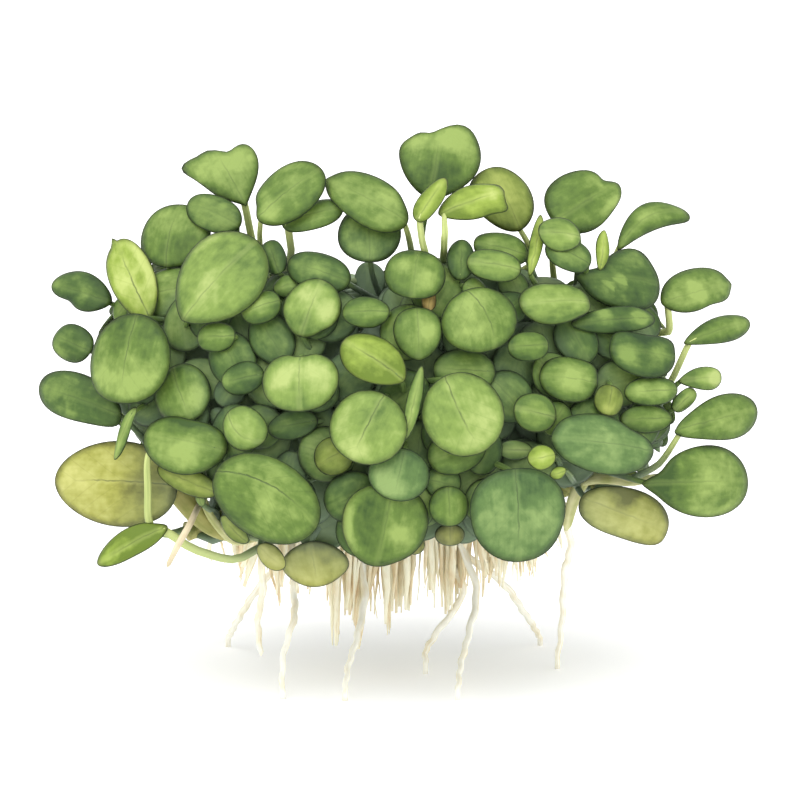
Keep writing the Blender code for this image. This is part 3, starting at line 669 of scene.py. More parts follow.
pale_skin = root_finish("pale_stem_skin", ((0.05, (0.190, 0.190, 0.060)), (0.4, (0.390, 0.410, 0.160)),
                                           (0.8, (0.620, 0.610, 0.330))))
old_skin = root_finish("old_stem_skin", ((0.05, (0.075, 0.090, 0.022)), (0.4, (0.200, 0.215, 0.055)),
                                         (0.8, (0.380, 0.360, 0.130))))
stub_skin = root_finish("stub_skin", ((0.05, (0.300, 0.230, 0.130)), (0.4, (0.480, 0.400, 0.250)),
                                      (0.9, (0.620, 0.550, 0.380))))
petiole_skin = petiole_finish()
STRAY_FINISHES = {"pale": (pale_skin, "rhizome"), "old": (old_skin, "rhizome"), "cut": (stub_skin, "root"),
                  "stalk": (petiole_skin, "leaf_mid")}
for stray in STRAYS:
    route = [view_point(FRONT, across, up, depth) for across, up, depth, radius in stray.places]
    radii = [place[3] for place in stray.places]
    stations = [(point, radius) for point, along, radius in smooth_points(route, radii, STRAY_SPACING)]
    end, radius = stations[-1]
    stations.append((end * 2.0 - stations[-2][0], radius * STRAY_TIP_SHARE))
    shape = new_shape()
    add_tube(shape, stations, ROOT_SIDES, 0, STRAY_WASH)
    skin, slot = STRAY_FINISHES[stray.kind]
    finish_piece(stray.name, shape, [skin])

# The leaves.
# Each leaf is one grown piece: a pale petiole that rises from a bud on the rhizome, bends up behind the leaf
# and runs on as the midrib of a small, round, leathery blade. Most blades face outwards from the cushion.
FACE_SPREAD = 0.75
SINK_STEP = 0.7
SINK_LIMIT = 22
PETIOLE_FOOT_RADIUS = 0.65
PETIOLE_NECK_RADIUS = 0.45
PETIOLE_PULL = 0.8
PETIOLE_STATIONS = 14
PETIOLE_SIDES = 10
PETIOLE_END = 0.97
RINGS_COMPARED = (0.3, 0.62)
RING_CORNERS = 6
NECK_ALONG = 0.6
NECK_OUTWARD = 0.8
BLADE_HALF_THICKNESS = 0.22
BLADE_ARCH = 0.07
BLADE_DROOP = 0.10
EDGE_STEP = 0.05
EDGE_WAVE = 0.22
SIDES_APART = 3.0
NARROWEST_BLADE = 0.16
BLADE_SQUARES = 14
ROUGH_SQUARES = 6
ROUGH_SIDES = 6
ROUGH_STATIONS = 10
KEEL_START = 0.1
KEEL_REACH = 0.45
KEEL_RADIUS = 0.36
KEEL_STATIONS = 4
KEEL_TAPER = 0.8
KEEL_ALONG = 0.9
KEEL_OUTWARD = 0.45
RIM_WIDTH = 1.3
RIB_GROOVE = 0.12
RIB_GROOVE_WIDTH = 0.55
TINTS = {
    "mid": ((0.034, 0.070, 0.013), (0.098, 0.164, 0.029), (0.231, 0.315, 0.081)),
    "dark": ((0.021, 0.048, 0.013), (0.056, 0.105, 0.022), (0.161, 0.238, 0.056)),
    "light": ((0.073, 0.130, 0.025), (0.178, 0.262, 0.056), (0.336, 0.413, 0.133)),
    "blue": ((0.034, 0.073, 0.022), (0.090, 0.160, 0.045), (0.206, 0.297, 0.098)),
    "bright": ((0.105, 0.161, 0.017), (0.231, 0.315, 0.048), (0.406, 0.476, 0.140)),
    "olive": ((0.063, 0.091, 0.014), (0.147, 0.196, 0.034), (0.280, 0.329, 0.077)),
    "tan": ((0.120, 0.085, 0.020), (0.300, 0.220, 0.060), (0.420, 0.320, 0.110)),
    "yellow": ((0.105, 0.105, 0.017), (0.280, 0.287, 0.059), (0.434, 0.434, 0.140)),
}
LINE_COLOUR = (0.022, 0.038, 0.018)
# How far the painted shade of the cushion's gaps darkens a leaf.
LEAF_SHADING = 0.65
Look = namedtuple("Look",
                  "bumps patches rims bend rib tone vein stalk stout shift stretch swing pull through",
                  defaults=((), (), (), 0.0, 0.0, 0.0, 0.35, -0.45, 1.0, (0.0, 0.0), (1.0, 1.0), 0.0, 0.45,
                            ()))
PLAIN = Look()
Leaf = namedtuple("Leaf", "name base tip width layer tint facing widest point via look",
                  defaults=((0.0, 0.0), 0.5, 0.48, (), PLAIN))
Blade = namedtuple("Blade", "base midrib side normal length width widest point")

# Each leaf, as seen from its own side, across from the middle and up from the surface: the blade's base and
# tip, its width, how far its layer stands out of the cushion, and its tint. Then, where a leaf has them of
# its own: which way it faces beyond the cushion's own slope, where it is widest, how pointed it is, and the
# places that its solid's petiole passes, across, up and out from the blade.
# A look holds bumps of the edge (turn from the tip in degrees, change, spread), washes on the blade, which
# are painted highlights and painted shade with some of the leaf's own tone (across, along, size, strength),
# pale rims (turn, spread, strength), how far the blade and its midrib bow, how light the blade is, how
# strongly its veins show, how light and how stout the petiole is, where darker is painted shade for a
# petiole inside the cushion, how far the blade is shifted, stretched (along, across) and swung in degrees
# from where its solid has it, how strongly the petiole bends into the midrib, and the places that the
# petiole passes here in place of its solid's.
FRONT_LEAVES = (
    Leaf("leaf_front_lightest_round", (7.0, 45.6), (12.6, 34.1), 11.8, 2.5, "light", point=0.5,
         look=Look(patches=((-0.3, 0.75, 0.6, 0.5), (0.5, 0.3, 0.5, -0.2)), rib=0.5, vein=0.7)),
    Leaf("leaf_front_middle_round", (-2.0, 42.9), (-7.0, 32.9), 11.2, 2.5, "light", (-0.1, 0.1),
         look=Look(patches=((-0.1, 0.42, 0.45, -0.5), (0.1, 0.92, 0.5, 0.7), (0.6, 0.5, 0.4, 0.3)),
                   vein=0.7)),
    Leaf("leaf_front_notched_round", (-14.7, 49.2), (-14.7, 40.2), 11.2, 2.0, "light",
         (0.0, 0.1), 0.46, 0.46,
         look=Look(bumps=((180, -0.15, 12),),
                   patches=((0.42, 0.42, 0.3, 1.0), (-0.45, 0.36, 0.3, 1.0), (0.0, 0.85, 0.5, -0.3)),
                   vein=0.3)),
    Leaf("leaf_front_yellow_ellipse", (0.9, 44.7), (-8.4, 50.6), 6.9, 1.5, "bright", (0.0, 0.2), 0.55, 0.52,
         look=Look(patches=((0.2, 0.75, 0.6, 0.3), (0.0, 0.2, 0.6, -0.7), (-0.4, 0.5, 0.4, -0.2)),
                   tone=-0.3, vein=0.6, shift=(0.15, 0.25))),
    Leaf("leaf_low_left_largest", (-28.0, 31.6), (-11.9, 22.8), 13.2, 1.5, "mid", (0.0, -0.1), 0.5, 0.5,
         look=Look(patches=((0.1, 0.55, 0.35, 0.7), (-0.7, 0.5, 0.4, 0.2), (0.6, 0.3, 0.5, -0.3)), rib=-2.3,
                   vein=0.9, shift=(0.25, 0.0), stretch=(0.95, 0.89),
                   through=((-18.0, 27.0, -12.0), (-25.0, 30.5, -5.0)))),
    Leaf("leaf_low_right_large_round", (17.3, 32.0), (17.7, 18.0), 14.4, 1.0, "blue",
         (0.0, -0.1), 0.45, 0.5,
         look=Look(bumps=((90, -0.08, 40), (-40, 0.06, 25)),
                   patches=((-0.5, 0.55, 0.4, 0.4), (0.3, 0.5, 0.35, 0.5), (-0.3, 0.1, 0.5, -0.5)),
                   vein=0.6, shift=(0.3, -0.25))),
    Leaf("leaf_front_blue_round", (1.0, 34.8), (-0.7, 26.9), 8.9, 1.0, "blue", (0.0, -0.1),
         look=Look(patches=((0.2, 0.8, 0.6, 0.8), (0.0, 0.2, 0.6, -0.3)), vein=0.2)),
    Leaf("leaf_low_middle_large", (-0.7, 29.3), (-3.3, 16.9), 12.4, -1.0, "mid", (0.1, -0.2), 0.45, 0.5,
         look=Look(bumps=((-30, -0.06, 25),),
                   patches=((-0.3, 0.55, 0.3, 1.0), (0.3, 0.3, 0.5, -0.6), (0.2, 0.7, 0.4, -0.4)),
                   rims=((90, 45, 1.8),), vein=0.2)),
    Leaf("leaf_upper_right_round", (10.2, 58.5), (14.6, 49.6), 11.3, 1.0, "mid",
         look=Look(bumps=((-90, -0.07, 45),), patches=((0.2, 0.3, 0.7, 0.5), (-0.6, 0.6, 0.4, -0.2)),
                   rib=-1.0, vein=0.7)),
    Leaf("leaf_upper_middle_round", (3.0, 64.6), (2.1, 57.1), 8.9, 0.5, "mid", (0.0, 0.1),
         look=Look(patches=((-0.3, 0.6, 0.4, 0.9), (0.4, 0.35, 0.3, 0.8), (0.0, 0.0, 0.4, -0.5)),
                   vein=0.15)),
    Leaf("leaf_upper_heart_light", (-14.7, 51.5), (-11.2, 60.0), 8.3, 0.5, "light",
         look=Look(bumps=((135, -0.1, 25), (-135, -0.06, 25)),
                   patches=((0.55, 0.5, 0.4, 1.0), (-0.35, 0.7, 0.3, 0.6), (0.1, 0.25, 0.4, -0.5)),
                   vein=0.3)),
    Leaf("leaf_upper_left_large", (-31.7, 53.8), (-20.6, 66.0), 11.7, 2.0, "light", widest=0.58, point=0.52,
         look=Look(bumps=((-90, 0.1, 50),), patches=((0.0, 0.4, 0.5, 0.6), (0.3, 0.85, 0.5, -0.5)),
                   rims=((-60, 40, 0.8),), tone=-0.25, vein=0.3, shift=(-0.55, 0.0))),
    Leaf("leaf_left_olive_round", (-38.8, 55.0), (-41.2, 41.4), 12.0, 3.0, "mid", widest=0.52,
         look=Look(patches=((-0.3, 0.75, 0.5, 0.9), (0.6, 0.7, 0.35, 0.7), (0.0, 0.15, 0.7, -0.3)),
                   vein=0.5, shift=(-0.3, 0.0))),
    Leaf("leaf_left_shelf", (-25.6, 34.4), (-38.0, 37.0), 9.2, 1.0, "mid", (0.0, 0.2),
         look=Look(bumps=((92, -0.3, 45), (-90, 0.04, 40)),
                   patches=((-0.3, 0.45, 0.7, 0.8), (0.8, 0.5, 0.6, -1.1)), vein=0.1)),
    Leaf("leaf_right_blue_ellipse", (38.4, 34.3), (23.0, 36.3), 8.7, 1.5, "blue", (0.0, 0.2), 0.5, 0.55,
         look=Look(bumps=((130, -0.2, 24), (45, 0.04, 25)), patches=((-0.2, 0.5, 0.8, 0.3),), vein=0.3)),
    Leaf("leaf_right_upper_oval", (28.8, 56.8), (18.1, 56.2), 6.2, 0.0, "light", (0.0, 0.2), 0.55,
         look=Look(bumps=((97, -0.12, 14), (150, 0.08, 20), (-150, 0.06, 20)),
                   patches=((0.0, 0.7, 0.5, 0.3),), tone=-0.2, vein=0.1)),
    Leaf("leaf_right_middle_oval", (30.0, 44.6), (21.2, 45.6), 6.7, -1.0, "mid", (0.0, 0.1),
         look=Look(bumps=((140, 0.12, 20),), patches=((0.0, 0.5, 0.5, 0.9),), vein=0.2)),
    Leaf("leaf_right_dark_rimmed", (41.6, 48.2), (31.7, 49.7), 6.9, 1.0, "dark", (0.0, 0.1),
         look=Look(bumps=((90, -0.18, 35), (40, 0.08, 20), (140, 0.18, 18)),
                   patches=((0.0, 0.3, 0.4, 0.9), (-0.2, 0.75, 0.35, 1.0), (0.7, 0.5, 0.5, -0.8)),
                   tone=-0.1, vein=0.1)),
    Leaf("leaf_right_upper_dark", (38.8, 57.4), (26.4, 60.2), 8.6, 0.0, "dark", (0.1, 0.1), 0.45, 0.55,
         look=Look(bumps=((36, -0.36, 22), (70, -0.2, 20), (119, 0.24, 20), (0, 0.1, 12)),
                   patches=((-0.1, 0.52, 0.14, 2.2), (-0.25, 0.66, 0.12, 1.6), (0.75, 0.3, 0.4, 0.5)),
                   tone=-0.15, vein=0.1, shift=(0.6, 1.1), swing=-8.0)),
    Leaf("leaf_low_right_lobe", (36.2, 29.5), (52.5, 30.0), 10.6, 0.5, "mid", (0.1, 0.0), 0.62, 0.46,
         look=Look(bumps=((-145, -0.2, 25), (145, -0.08, 25)),
                   patches=((0.0, 0.2, 0.6, -1.0), (0.0, 0.62, 0.6, 0.5)), rims=((60, 50, 0.8),),
                   vein=0.2)),
    Leaf("leaf_right_bean_low", (41.9, 38.0), (53.85, 41.0), 6.8, 3.0, "mid", (0.1, 0.1), 0.62, 0.5,
         via=((38.9, 32.2, -2.0),),
         look=Look(bumps=((150, 0.12, 25), (-150, 0.05, 25)), patches=((0.0, 0.25, 0.5, -0.3),), tone=0.1,
                   vein=0.2, stalk=0.15, shift=(0.0, -0.4), pull=0.4)),
    Leaf("leaf_low_right_yellow", (27.6, 27.4), (40.5, 22.6), 7.8, -2.0, "yellow", (0.0, -0.2), 0.55,
         look=Look(bumps=((35, 0.1, 20), (85, -0.08, 30), (135, 0.16, 30)),
                   patches=((-0.7, 0.4, 0.7, -0.9), (0.5, 0.5, 0.5, 0.4)), tone=0.2, vein=0.2)),
    Leaf("leaf_low_left_yellow", (-33.5, 29.2), (-51.7, 29.7), 12.6, -3.0, "yellow",
         (0.1, -0.1), 0.45, 0.52,
         look=Look(patches=((-0.1, 0.3, 0.5, -0.7), (0.4, 0.1, 0.5, -0.4), (0.0, 0.85, 0.6, 0.4)), rib=0.6,
                   tone=0.1, vein=0.8, shift=(0.3, 0.0))),
    Leaf("leaf_low_left_bright", (-34.5, 23.2), (-45.1, 17.3), 4.8, 2.0, "bright", (0.2, 0.3), 0.5, 0.55,
         via=((-26.5, 19.4, -1.0),),
         look=Look(bumps=((-85, -0.28, 45), (145, -0.1, 25)),
                   patches=((0.5, 0.3, 0.8, -1.2), (0.0, 0.3, 0.5, -0.6), (-0.4, 0.9, 0.5, 0.5)), tone=-0.4,
                   vein=0.3, stalk=0.35, stout=1.9, pull=0.3,
                   through=((-19.5, 21.0, -8.0), (-21.3, 19.6, -2.5), (-24.4, 18.1, -0.8),
                            (-28.2, 18.8, -0.4), (-32.0, 20.4, -0.2)))),
    Leaf("leaf_low_middle_olive", (-13.2, 20.8), (-11.8, 14.0), 9.8, -7.0, "yellow", (0.0, -0.3), 0.55,
         look=Look(bumps=((-40, -0.06, 25), (40, -0.06, 25)),
                   patches=((0.2, 0.7, 0.5, 0.3), (0.0, 0.1, 0.6, -0.4)), tone=0.2, vein=0.1)),
    Leaf("leaf_left_low_dark", (-41.4, 39.8), (-53.85, 44.3), 7.4, 1.0, "dark", (0.0, 0.1), 0.55, 0.5,
         look=Look(bumps=((-90, -0.1, 40), (-145, 0.14, 20)), patches=((0.0, 0.75, 0.6, 0.3),),
                   rims=((-90, 60, 0.5),), vein=0.2)),
    Leaf("leaf_left_upper_dark", (-43.0, 56.6), (-51.9, 59.4), 6.4, 1.0, "dark", (0.1, 0.0), 0.55, 0.52,
         look=Look(bumps=((-66, -0.42, 36),), patches=((0.1, 0.4, 0.35, 0.9), (0.0, 0.98, 0.3, 1.0)),
                   vein=0.2)),
    Leaf("leaf_left_bright_spoon", (-36.9, 54.3), (-41.9, 66.0), 6.7, -1.0, "bright", (0.1, 0.0), 0.5, 0.58,
         look=Look(bumps=((-12, 0.18, 7), (-50, 0.12, 30), (40, 0.06, 30)),
                   patches=((-0.3, 0.5, 0.5, 0.6), (0.45, 0.45, 0.25, -0.6)), rims=((85, 50, 1.6),),
                   vein=0.8, shift=(-0.2, -0.2))),
    Leaf("leaf_top_left_round", (-34.7, 61.8), (-32.4, 71.4), 10.3, -2.0, "mid", widest=0.52,
         look=Look(patches=((-0.2, 0.8, 0.7, 0.4), (0.2, 0.2, 0.6, -0.4)), rib=-0.4)),
    Leaf("leaf_top_left_fishtail", (-23.1, 71.5), (-27.9, 80.2), 9.6, -1.0, "mid", (0.1, -0.1), 0.72, 0.44,
         via=((-22.3, 67.4, -3.0),),
         look=Look(bumps=((-36, 0.42, 17), (-8, 0.13, 9), (15, -0.24, 15), (100, 0.15, 30),
                          (-83, -0.08, 20)), patches=((0.0, 0.7, 0.7, 0.6), (-0.9, 0.7, 0.3, 0.6)),
                   rims=((70, 30, 0.6),), tone=0.1, vein=0.3, stalk=0.15, stout=1.5, shift=(0.4, -0.5),
                   pull=0.4, through=((-18.5, 56.0, -9.0), (-21.0, 62.5, -5.0), (-22.1, 67.0, -2.0)))),
    Leaf("leaf_top_left_ellipse", (-21.0, 68.6), (-11.2, 76.4), 7.2, 3.0, "mid", (0.0, -0.1), 0.52, 0.5,
         look=Look(bumps=((-155, -0.13, 22),), patches=((0.2, 0.15, 0.4, 0.8), (-0.2, 0.6, 0.5, 0.2)),
                   rims=((-60, 50, 0.5),), stalk=0.15, shift=(-0.3, 0.4), stretch=(1.0, 1.08), pull=0.3,
                   through=((-17.5, 57.0, -10.0), (-20.4, 63.5, -6.0)))),
    Leaf("leaf_top_middle_wide", (1.2, 66.6), (-10.7, 74.8), 7.9, 1.0, "mid", widest=0.48, point=0.55,
         look=Look(bumps=((0, 0.06, 12), (-70, -0.1, 40), (142, -0.13, 32)),
                   patches=((-0.4, 0.85, 0.4, 0.7), (0.5, 0.3, 0.5, 0.6)), tone=0.1, vein=0.15, stalk=0.15,
                   shift=(0.3, 1.0), stretch=(0.95, 1.0), swing=-7.0, pull=0.3)),
    Leaf("leaf_top_middle_shaded", (-4.2, 62.6), (-4.4, 71.2), 9.3, -3.0, "dark",
         look=Look(patches=((0.0, 0.15, 0.5, 0.6),), tone=0.1, vein=0.2)),
    Leaf("leaf_top_bright_tongue", (6.3, 69.8), (16.3, 73.2), 5.0, 4.0, "bright", widest=0.55, point=0.5,
         via=((7.0, 66.6, 3.0),),
         look=Look(bumps=((50, 0.28, 13), (12, -0.06, 12), (-30, 0.08, 14)),
                   patches=((-0.2, 0.8, 0.5, 0.6), (0.4, 0.2, 0.5, -0.7)), tone=-0.1, vein=0.4, stalk=0.15,
                   shift=(-0.2, 0.0), pull=0.4)),
    Leaf("leaf_top_heart", (4.6, 72.2), (6.2, 83.1), 12.2, -1.0, "mid", (0.0, -0.2), 0.62, 0.42,
         via=((4.2, 66.0, -2.0),),
         look=Look(bumps=((-8, -0.22, 15), (19, 0.2, 20), (45, 0.08, 25), (-38, -0.16, 26),
                          (-88, -0.08, 35), (100, 0.08, 40)),
                   patches=((0.4, 0.85, 0.6, 1.0), (-0.6, 0.8, 0.4, 0.7), (0.1, 0.3, 0.7, -0.6)), vein=0.1,
                   shift=(0.25, 0.0), pull=0.3, through=((4.4, 61.0, -4.0), (3.6, 66.5, -2.0)))),
    Leaf("leaf_top_olive", (18.9, 67.6), (14.3, 76.6), 8.4, -4.0, "olive", (0.0, -0.1), 0.55,
         via=((19.6, 62.0, -5.0),),
         look=Look(bumps=((-60, 0.1, 40), (45, -0.07, 30)), patches=((0.0, 0.8, 0.7, 0.3),), vein=0.2,
                   stalk=0.15, shift=(-0.6, 0.0), stretch=(1.04, 1.0), pull=0.3)),
    Leaf("leaf_top_right_large", (24.2, 67.4), (33.2, 74.6), 8.6, 1.0, "mid", (0.0, -0.1), 0.48, 0.56,
         look=Look(bumps=((-105, 0.26, 42), (-29, -0.24, 21), (65, -0.12, 32)),
                   patches=((-0.5, 0.8, 0.5, 0.4), (0.0, 0.4, 0.6, -0.4)), rims=((50, 32, 1.2),), vein=0.1,
                   stalk=0.15, shift=(-0.45, 0.65), swing=6.0)),
    Leaf("leaf_top_right_bean", (33.0, 64.4), (43.4, 70.2), 4.3, 2.0, "mid", (0.0, 0.2), 0.64, 0.42,
         look=Look(bumps=((48, 0.12, 20),), patches=((-0.1, 0.45, 0.9, 0.5),), bend=-0.13, vein=0.1,
                   stalk=0.15, pull=0.3)),
    Leaf("leaf_right_upper_rim", (41.0, 54.4), (50.3, 59.5), 6.2, 1.0, "mid", (0.1, 0.1), 0.58, 0.5,
         via=((40.5, 52.2, -1.0),),
         look=Look(bumps=((0, 0.08, 9), (75, -0.3, 35), (-115, 0.15, 40)),
                   patches=((0.0, 0.45, 0.45, 0.9),), tone=0.1, vein=0.1, stalk=0.35, stout=1.4,
                   shift=(-1.0, 1.0), stretch=(1.0, 1.14), swing=10.0, pull=0.3)),
    Leaf("leaf_right_middle_rim", (43.2, 50.0), (52.8, 53.2), 4.1, 2.0, "mid", (0.1, 0.3), 0.6,
         via=((41.8, 45.4, -1.0),),
         look=Look(patches=((0.0, 0.75, 0.6, 0.6),), vein=0.1, stalk=0.35, stout=1.3, shift=(-0.2, 0.55),
                   pull=0.3, through=((37.0, 41.0, -6.0), (40.6, 44.2, -1.2)))),
)
BACK_LEAVES = (
    Leaf("leaf_back_low_left", (-24.0, 29.0), (-36.0, 24.0), 11.5, 0.0, "mid", point=0.5),
    Leaf("leaf_back_low_middle", (0.0, 31.0), (-3.0, 18.5), 12.0, 0.0, "mid", (0.0, -0.1)),
    Leaf("leaf_back_low_right", (24.0, 28.0), (36.0, 24.0), 11.0, 0.0, "blue", point=0.5),
    Leaf("leaf_back_upper_left", (-20.0, 46.0), (-30.0, 51.0), 10.5, 0.0, "mid"),
    Leaf("leaf_back_upper_middle", (6.0, 44.0), (2.0, 54.5), 11.0, 0.0, "light", widest=0.52),
    Leaf("leaf_back_upper_right", (27.0, 44.5), (32.0, 53.5), 9.5, 0.0, "mid", point=0.5),
)
SMALL_BACK_LEAVES = (
    Leaf("small_leaf_low_1", (-13.0, 27.5), (-18.0, 19.0), 8.5, -1.0, "mid", point=0.5),
    Leaf("small_leaf_low_2", (12.0, 27.0), (18.0, 19.0), 9.0, -1.0, "olive"),
    Leaf("small_leaf_middle_1", (-29.0, 36.0), (-37.0, 41.0), 8.5, -1.0, "mid", (0.0, 0.1)),
    Leaf("small_leaf_middle_2", (-20.0, 33.5), (-19.0, 42.0), 9.0, -1.0, "dark"),
    Leaf("small_leaf_middle_3", (-6.0, 34.0), (-6.5, 42.5), 9.0, 0.0, "mid"),
    Leaf("small_leaf_middle_4", (9.0, 34.0), (11.5, 43.0), 9.0, 0.0, "blue"),
    Leaf("small_leaf_middle_5", (20.0, 34.5), (24.5, 42.0), 8.5, -1.0, "mid"),
    Leaf("small_leaf_middle_6", (31.0, 34.5), (38.5, 39.0), 8.5, -1.0, "mid", (0.0, 0.1)),
    Leaf("small_leaf_upper_1", (-10.0, 46.0), (-12.0, 55.0), 8.5, -1.0, "mid", (0.0, 0.1)),
    Leaf("small_leaf_upper_2", (16.0, 46.0), (17.5, 54.5), 8.5, -1.0, "mid", (0.0, 0.1)),
    Leaf("small_leaf_top_1", (-5.0, 53.5), (-9.5, 57.5), 9.0, 1.0, "light", (0.0, 0.8)),
    Leaf("small_leaf_top_2", (9.0, 54.0), (12.5, 58.0), 9.0, 1.0, "light", (0.0, 0.8)),
)


def set_blade(view, leaf, sunk):
    """The blade's frame in space, when it lies sunk deeper than its layer."""
    base_across, base_up = leaf.base
    tip_across, tip_up = leaf.tip
    across = (base_across + tip_across) / 2.0
    up = (base_up + tip_up) / 2.0
    depth = dome_depth(view, across, up) + leaf.layer - sunk
    slope_across = FACE_SPREAD * across / CUSHION_HALF_WIDTH + leaf.facing[0]
    slope_up = FACE_SPREAD * (up - view.middle_up) / view.rise + leaf.facing[1]
    run = Vector((tip_across - base_across, tip_up - base_up))
    lean = -(run.x * slope_across + run.y * slope_up)
    base = view_point(view, base_across, base_up, depth - lean / 2.0)
    tip = view_point(view, tip_across, tip_up, depth + lean / 2.0)
    facing = view.across * slope_across + view.upward * slope_up + view.toward
    midrib = (tip - base).normalized()
    side = midrib.cross(facing).normalized()
    normal = side.cross(midrib)
    seen_side = Vector((side.dot(view.across), side.dot(view.upward)))
    square_to_run = Vector((run.y, -run.x)).normalized()
    width = leaf.width / abs(seen_side.dot(square_to_run))
    return Blade(base, midrib, side, normal, (tip - base).length, width, leaf.widest, leaf.point)


def bell(turn, place, spread):
    """How much of a change at a place of the edge, in degrees, reaches a turn."""
    apart = (math.degrees(turn) - place + 180.0) % 360.0 - 180.0
    return math.exp(-(apart / spread) ** 2)


def blade_edge(blade, look, turn):
    """The outline, across and along in millimetres, at a turn from the tip."""
    along = (1.0 + math.cos(turn)) / 2.0
    share = along ** (math.log(0.5) / math.log(blade.widest))
    half = blade.width / 2.0 * (4.0 * share * (1.0 - share)) ** blade.point
    reach = 1.0
    for place, change, spread in look.bumps:
        reach += change * bell(turn, place, spread)
    across = math.copysign(half, math.sin(turn)) * reach
    return Vector((across, blade.length * (0.5 + (along - 0.5) * reach)))


def disc_place(s, t):
    """A square's point as a share of a disc's radius and a turn from its top."""
    if abs(s) < CURVE_END and abs(t) < CURVE_END:
        return 0.0, 0.0
    if abs(t) >= abs(s):
        return abs(t), math.pi / 4.0 * s / t + (0.0 if t > 0.0 else math.pi)
    return abs(s), (math.pi / 2.0 if s > 0.0 else -math.pi / 2.0) - math.pi / 4.0 * t / s


def blade_height(blade, across, along):
    """How the blade's middle surface rises and droops above its base's level."""
    rise = BLADE_ARCH * blade.length * (1.0 - (2.0 * along - 1.0) ** 2)
    return rise - BLADE_DROOP * blade.width * (2.0 * across / blade.width) ** 2


def blade_place(blade, look, across, along, height):
    """A place on the blade in space."""
    bow = look.bend * blade.length * (1.0 - (2.0 * along - 1.0) ** 2)
    return (blade.base + blade.side * (across + bow) + blade.midrib * (along * blade.length)
            + blade.normal * height)


def refined(view, blade, look):
    """A blade, shifted, stretched and swung a little from where its solid has it."""
    turn = math.radians(look.swing)
    midrib = blade.midrib * math.cos(turn) + blade.side * math.sin(turn)
    side = blade.side * math.cos(turn) - blade.midrib * math.sin(turn)
    middle = blade.base + blade.midrib * (blade.length / 2.0)
    middle += view.across * look.shift[0] + view.upward * look.shift[1]
    length = blade.length * look.stretch[0]
    base = middle - midrib * (length / 2.0)
    width = blade.width * look.stretch[1]
    return blade._replace(base=base, midrib=midrib, side=side, length=length, width=width)


def add_blade(shape, blade, look, squares, grow=0.0):
    """A blade: two sheets, made as grids that are rounded to the outline and meet at its edge."""
    layers = shape.verts.layers.float
    skin = shape.verts.layers.float_vector["skin"]
    middle = Vector((0.0, blade.length / 2.0))
    for under in (0.0, 1.0):
        for vert in bmesh.ops.create_grid(shape, x_segments=squares, y_segments=squares, size=1.0)["verts"]:
            ring, turn = disc_place(vert.co.x, vert.co.y)
            edge = blade_edge(blade, look, turn)
            before = blade_edge(blade, look, turn - EDGE_STEP)
            after = blade_edge(blade, look, turn + EDGE_STEP)
            outward = Vector((before.y - after.y, after.x - before.x)).normalized()
            radius = edge - middle
            place = middle + radius * (ring * (1.0 + grow / max(radius.length, 1.0)))
            across, along = place.x, place.y / blade.length
            rib = across - look.rib * 4.0 * along * (1.0 - along)
            thickness = (BLADE_HALF_THICKNESS + grow) * math.sqrt(max(1.0 - ring ** 2, 0.0))
            height = blade_height(blade, across, along)
            height -= RIB_GROOVE * math.exp(-(rib / RIB_GROOVE_WIDTH) ** 2) * (1.0 - ring ** 4)
            height += EDGE_WAVE * ring ** 3 * math.sin(3.0 * turn + 7.0 * blade.length)
            height += -thickness if under else thickness
            tone = look.tone
            # The patches are painted highlights and painted shade, with some of the leaf's own tone.
            for patch_across, patch_along, size, strength in look.patches:
                apart = Vector((across - patch_across * blade.width / 2.0,
                                (along - patch_along) * blade.length))
                tone += strength * math.exp(-(apart.length / (size * blade.width / 2.0)) ** 2)
            margin = (1.0 - ring) * abs(radius.dot(outward))
            for rim_turn, spread, strength in look.rims:
                tone += strength * bell(turn, rim_turn, spread) * math.exp(-(margin / RIM_WIDTH) ** 4)
            vert[layers["midrib"]] = rib
            vert[layers["along"]] = along
            vert[layers["margin"]] = margin
            vert[layers["tone_and_painted_light"]] = tone
            vert[layers["under"]] = 0.5 if ring > 1.0 - CURVE_END else under
            vert[layers["vein"]] = look.vein
            vert[skin] = Vector((rib, place.y, blade.base.x + SIDES_APART * under))
            vert.co = blade_place(blade, look, across, along, height)


def neck_direction(blade):
    """The direction in which the petiole comes up behind the blade, before it bends into the midrib."""
    return (blade.midrib * NECK_ALONG + blade.normal * NECK_OUTWARD).normalized()


def petiole_route(view, leaf, blade, bud, pull=PETIOLE_PULL, taut=False):
    """The stations of a petiole's curve, from its bud to the blade. A taut one doesn't bow between them."""
    stations = [bud.start]
    for across, up, behind in leaf.via:
        stations.append(view_point(view, across, up, blade.base.dot(view.toward) + behind))
    stations.append(blade.base)
    arrival = neck_direction(blade)
    route = []
    for index, point in enumerate(stations):
        before = (point - stations[index - 1]).length if index else (stations[1] - point).length
        if index == 0:
            tangent = bud.outward * before * pull
        elif index == len(stations) - 1:
            tangent = arrival * before * pull
        else:
            after = (stations[index + 1] - point).length
            reach = min(before, after) if taut else before
            tangent = (stations[index + 1] - stations[index - 1]).normalized() * reach
        route.append((point, tangent))
    return route


def petiole_radius(share):
    """The petiole's radius at a share of its way from the bud to the blade."""
    return PETIOLE_FOOT_RADIUS + (PETIOLE_NECK_RADIUS - PETIOLE_FOOT_RADIUS) * share


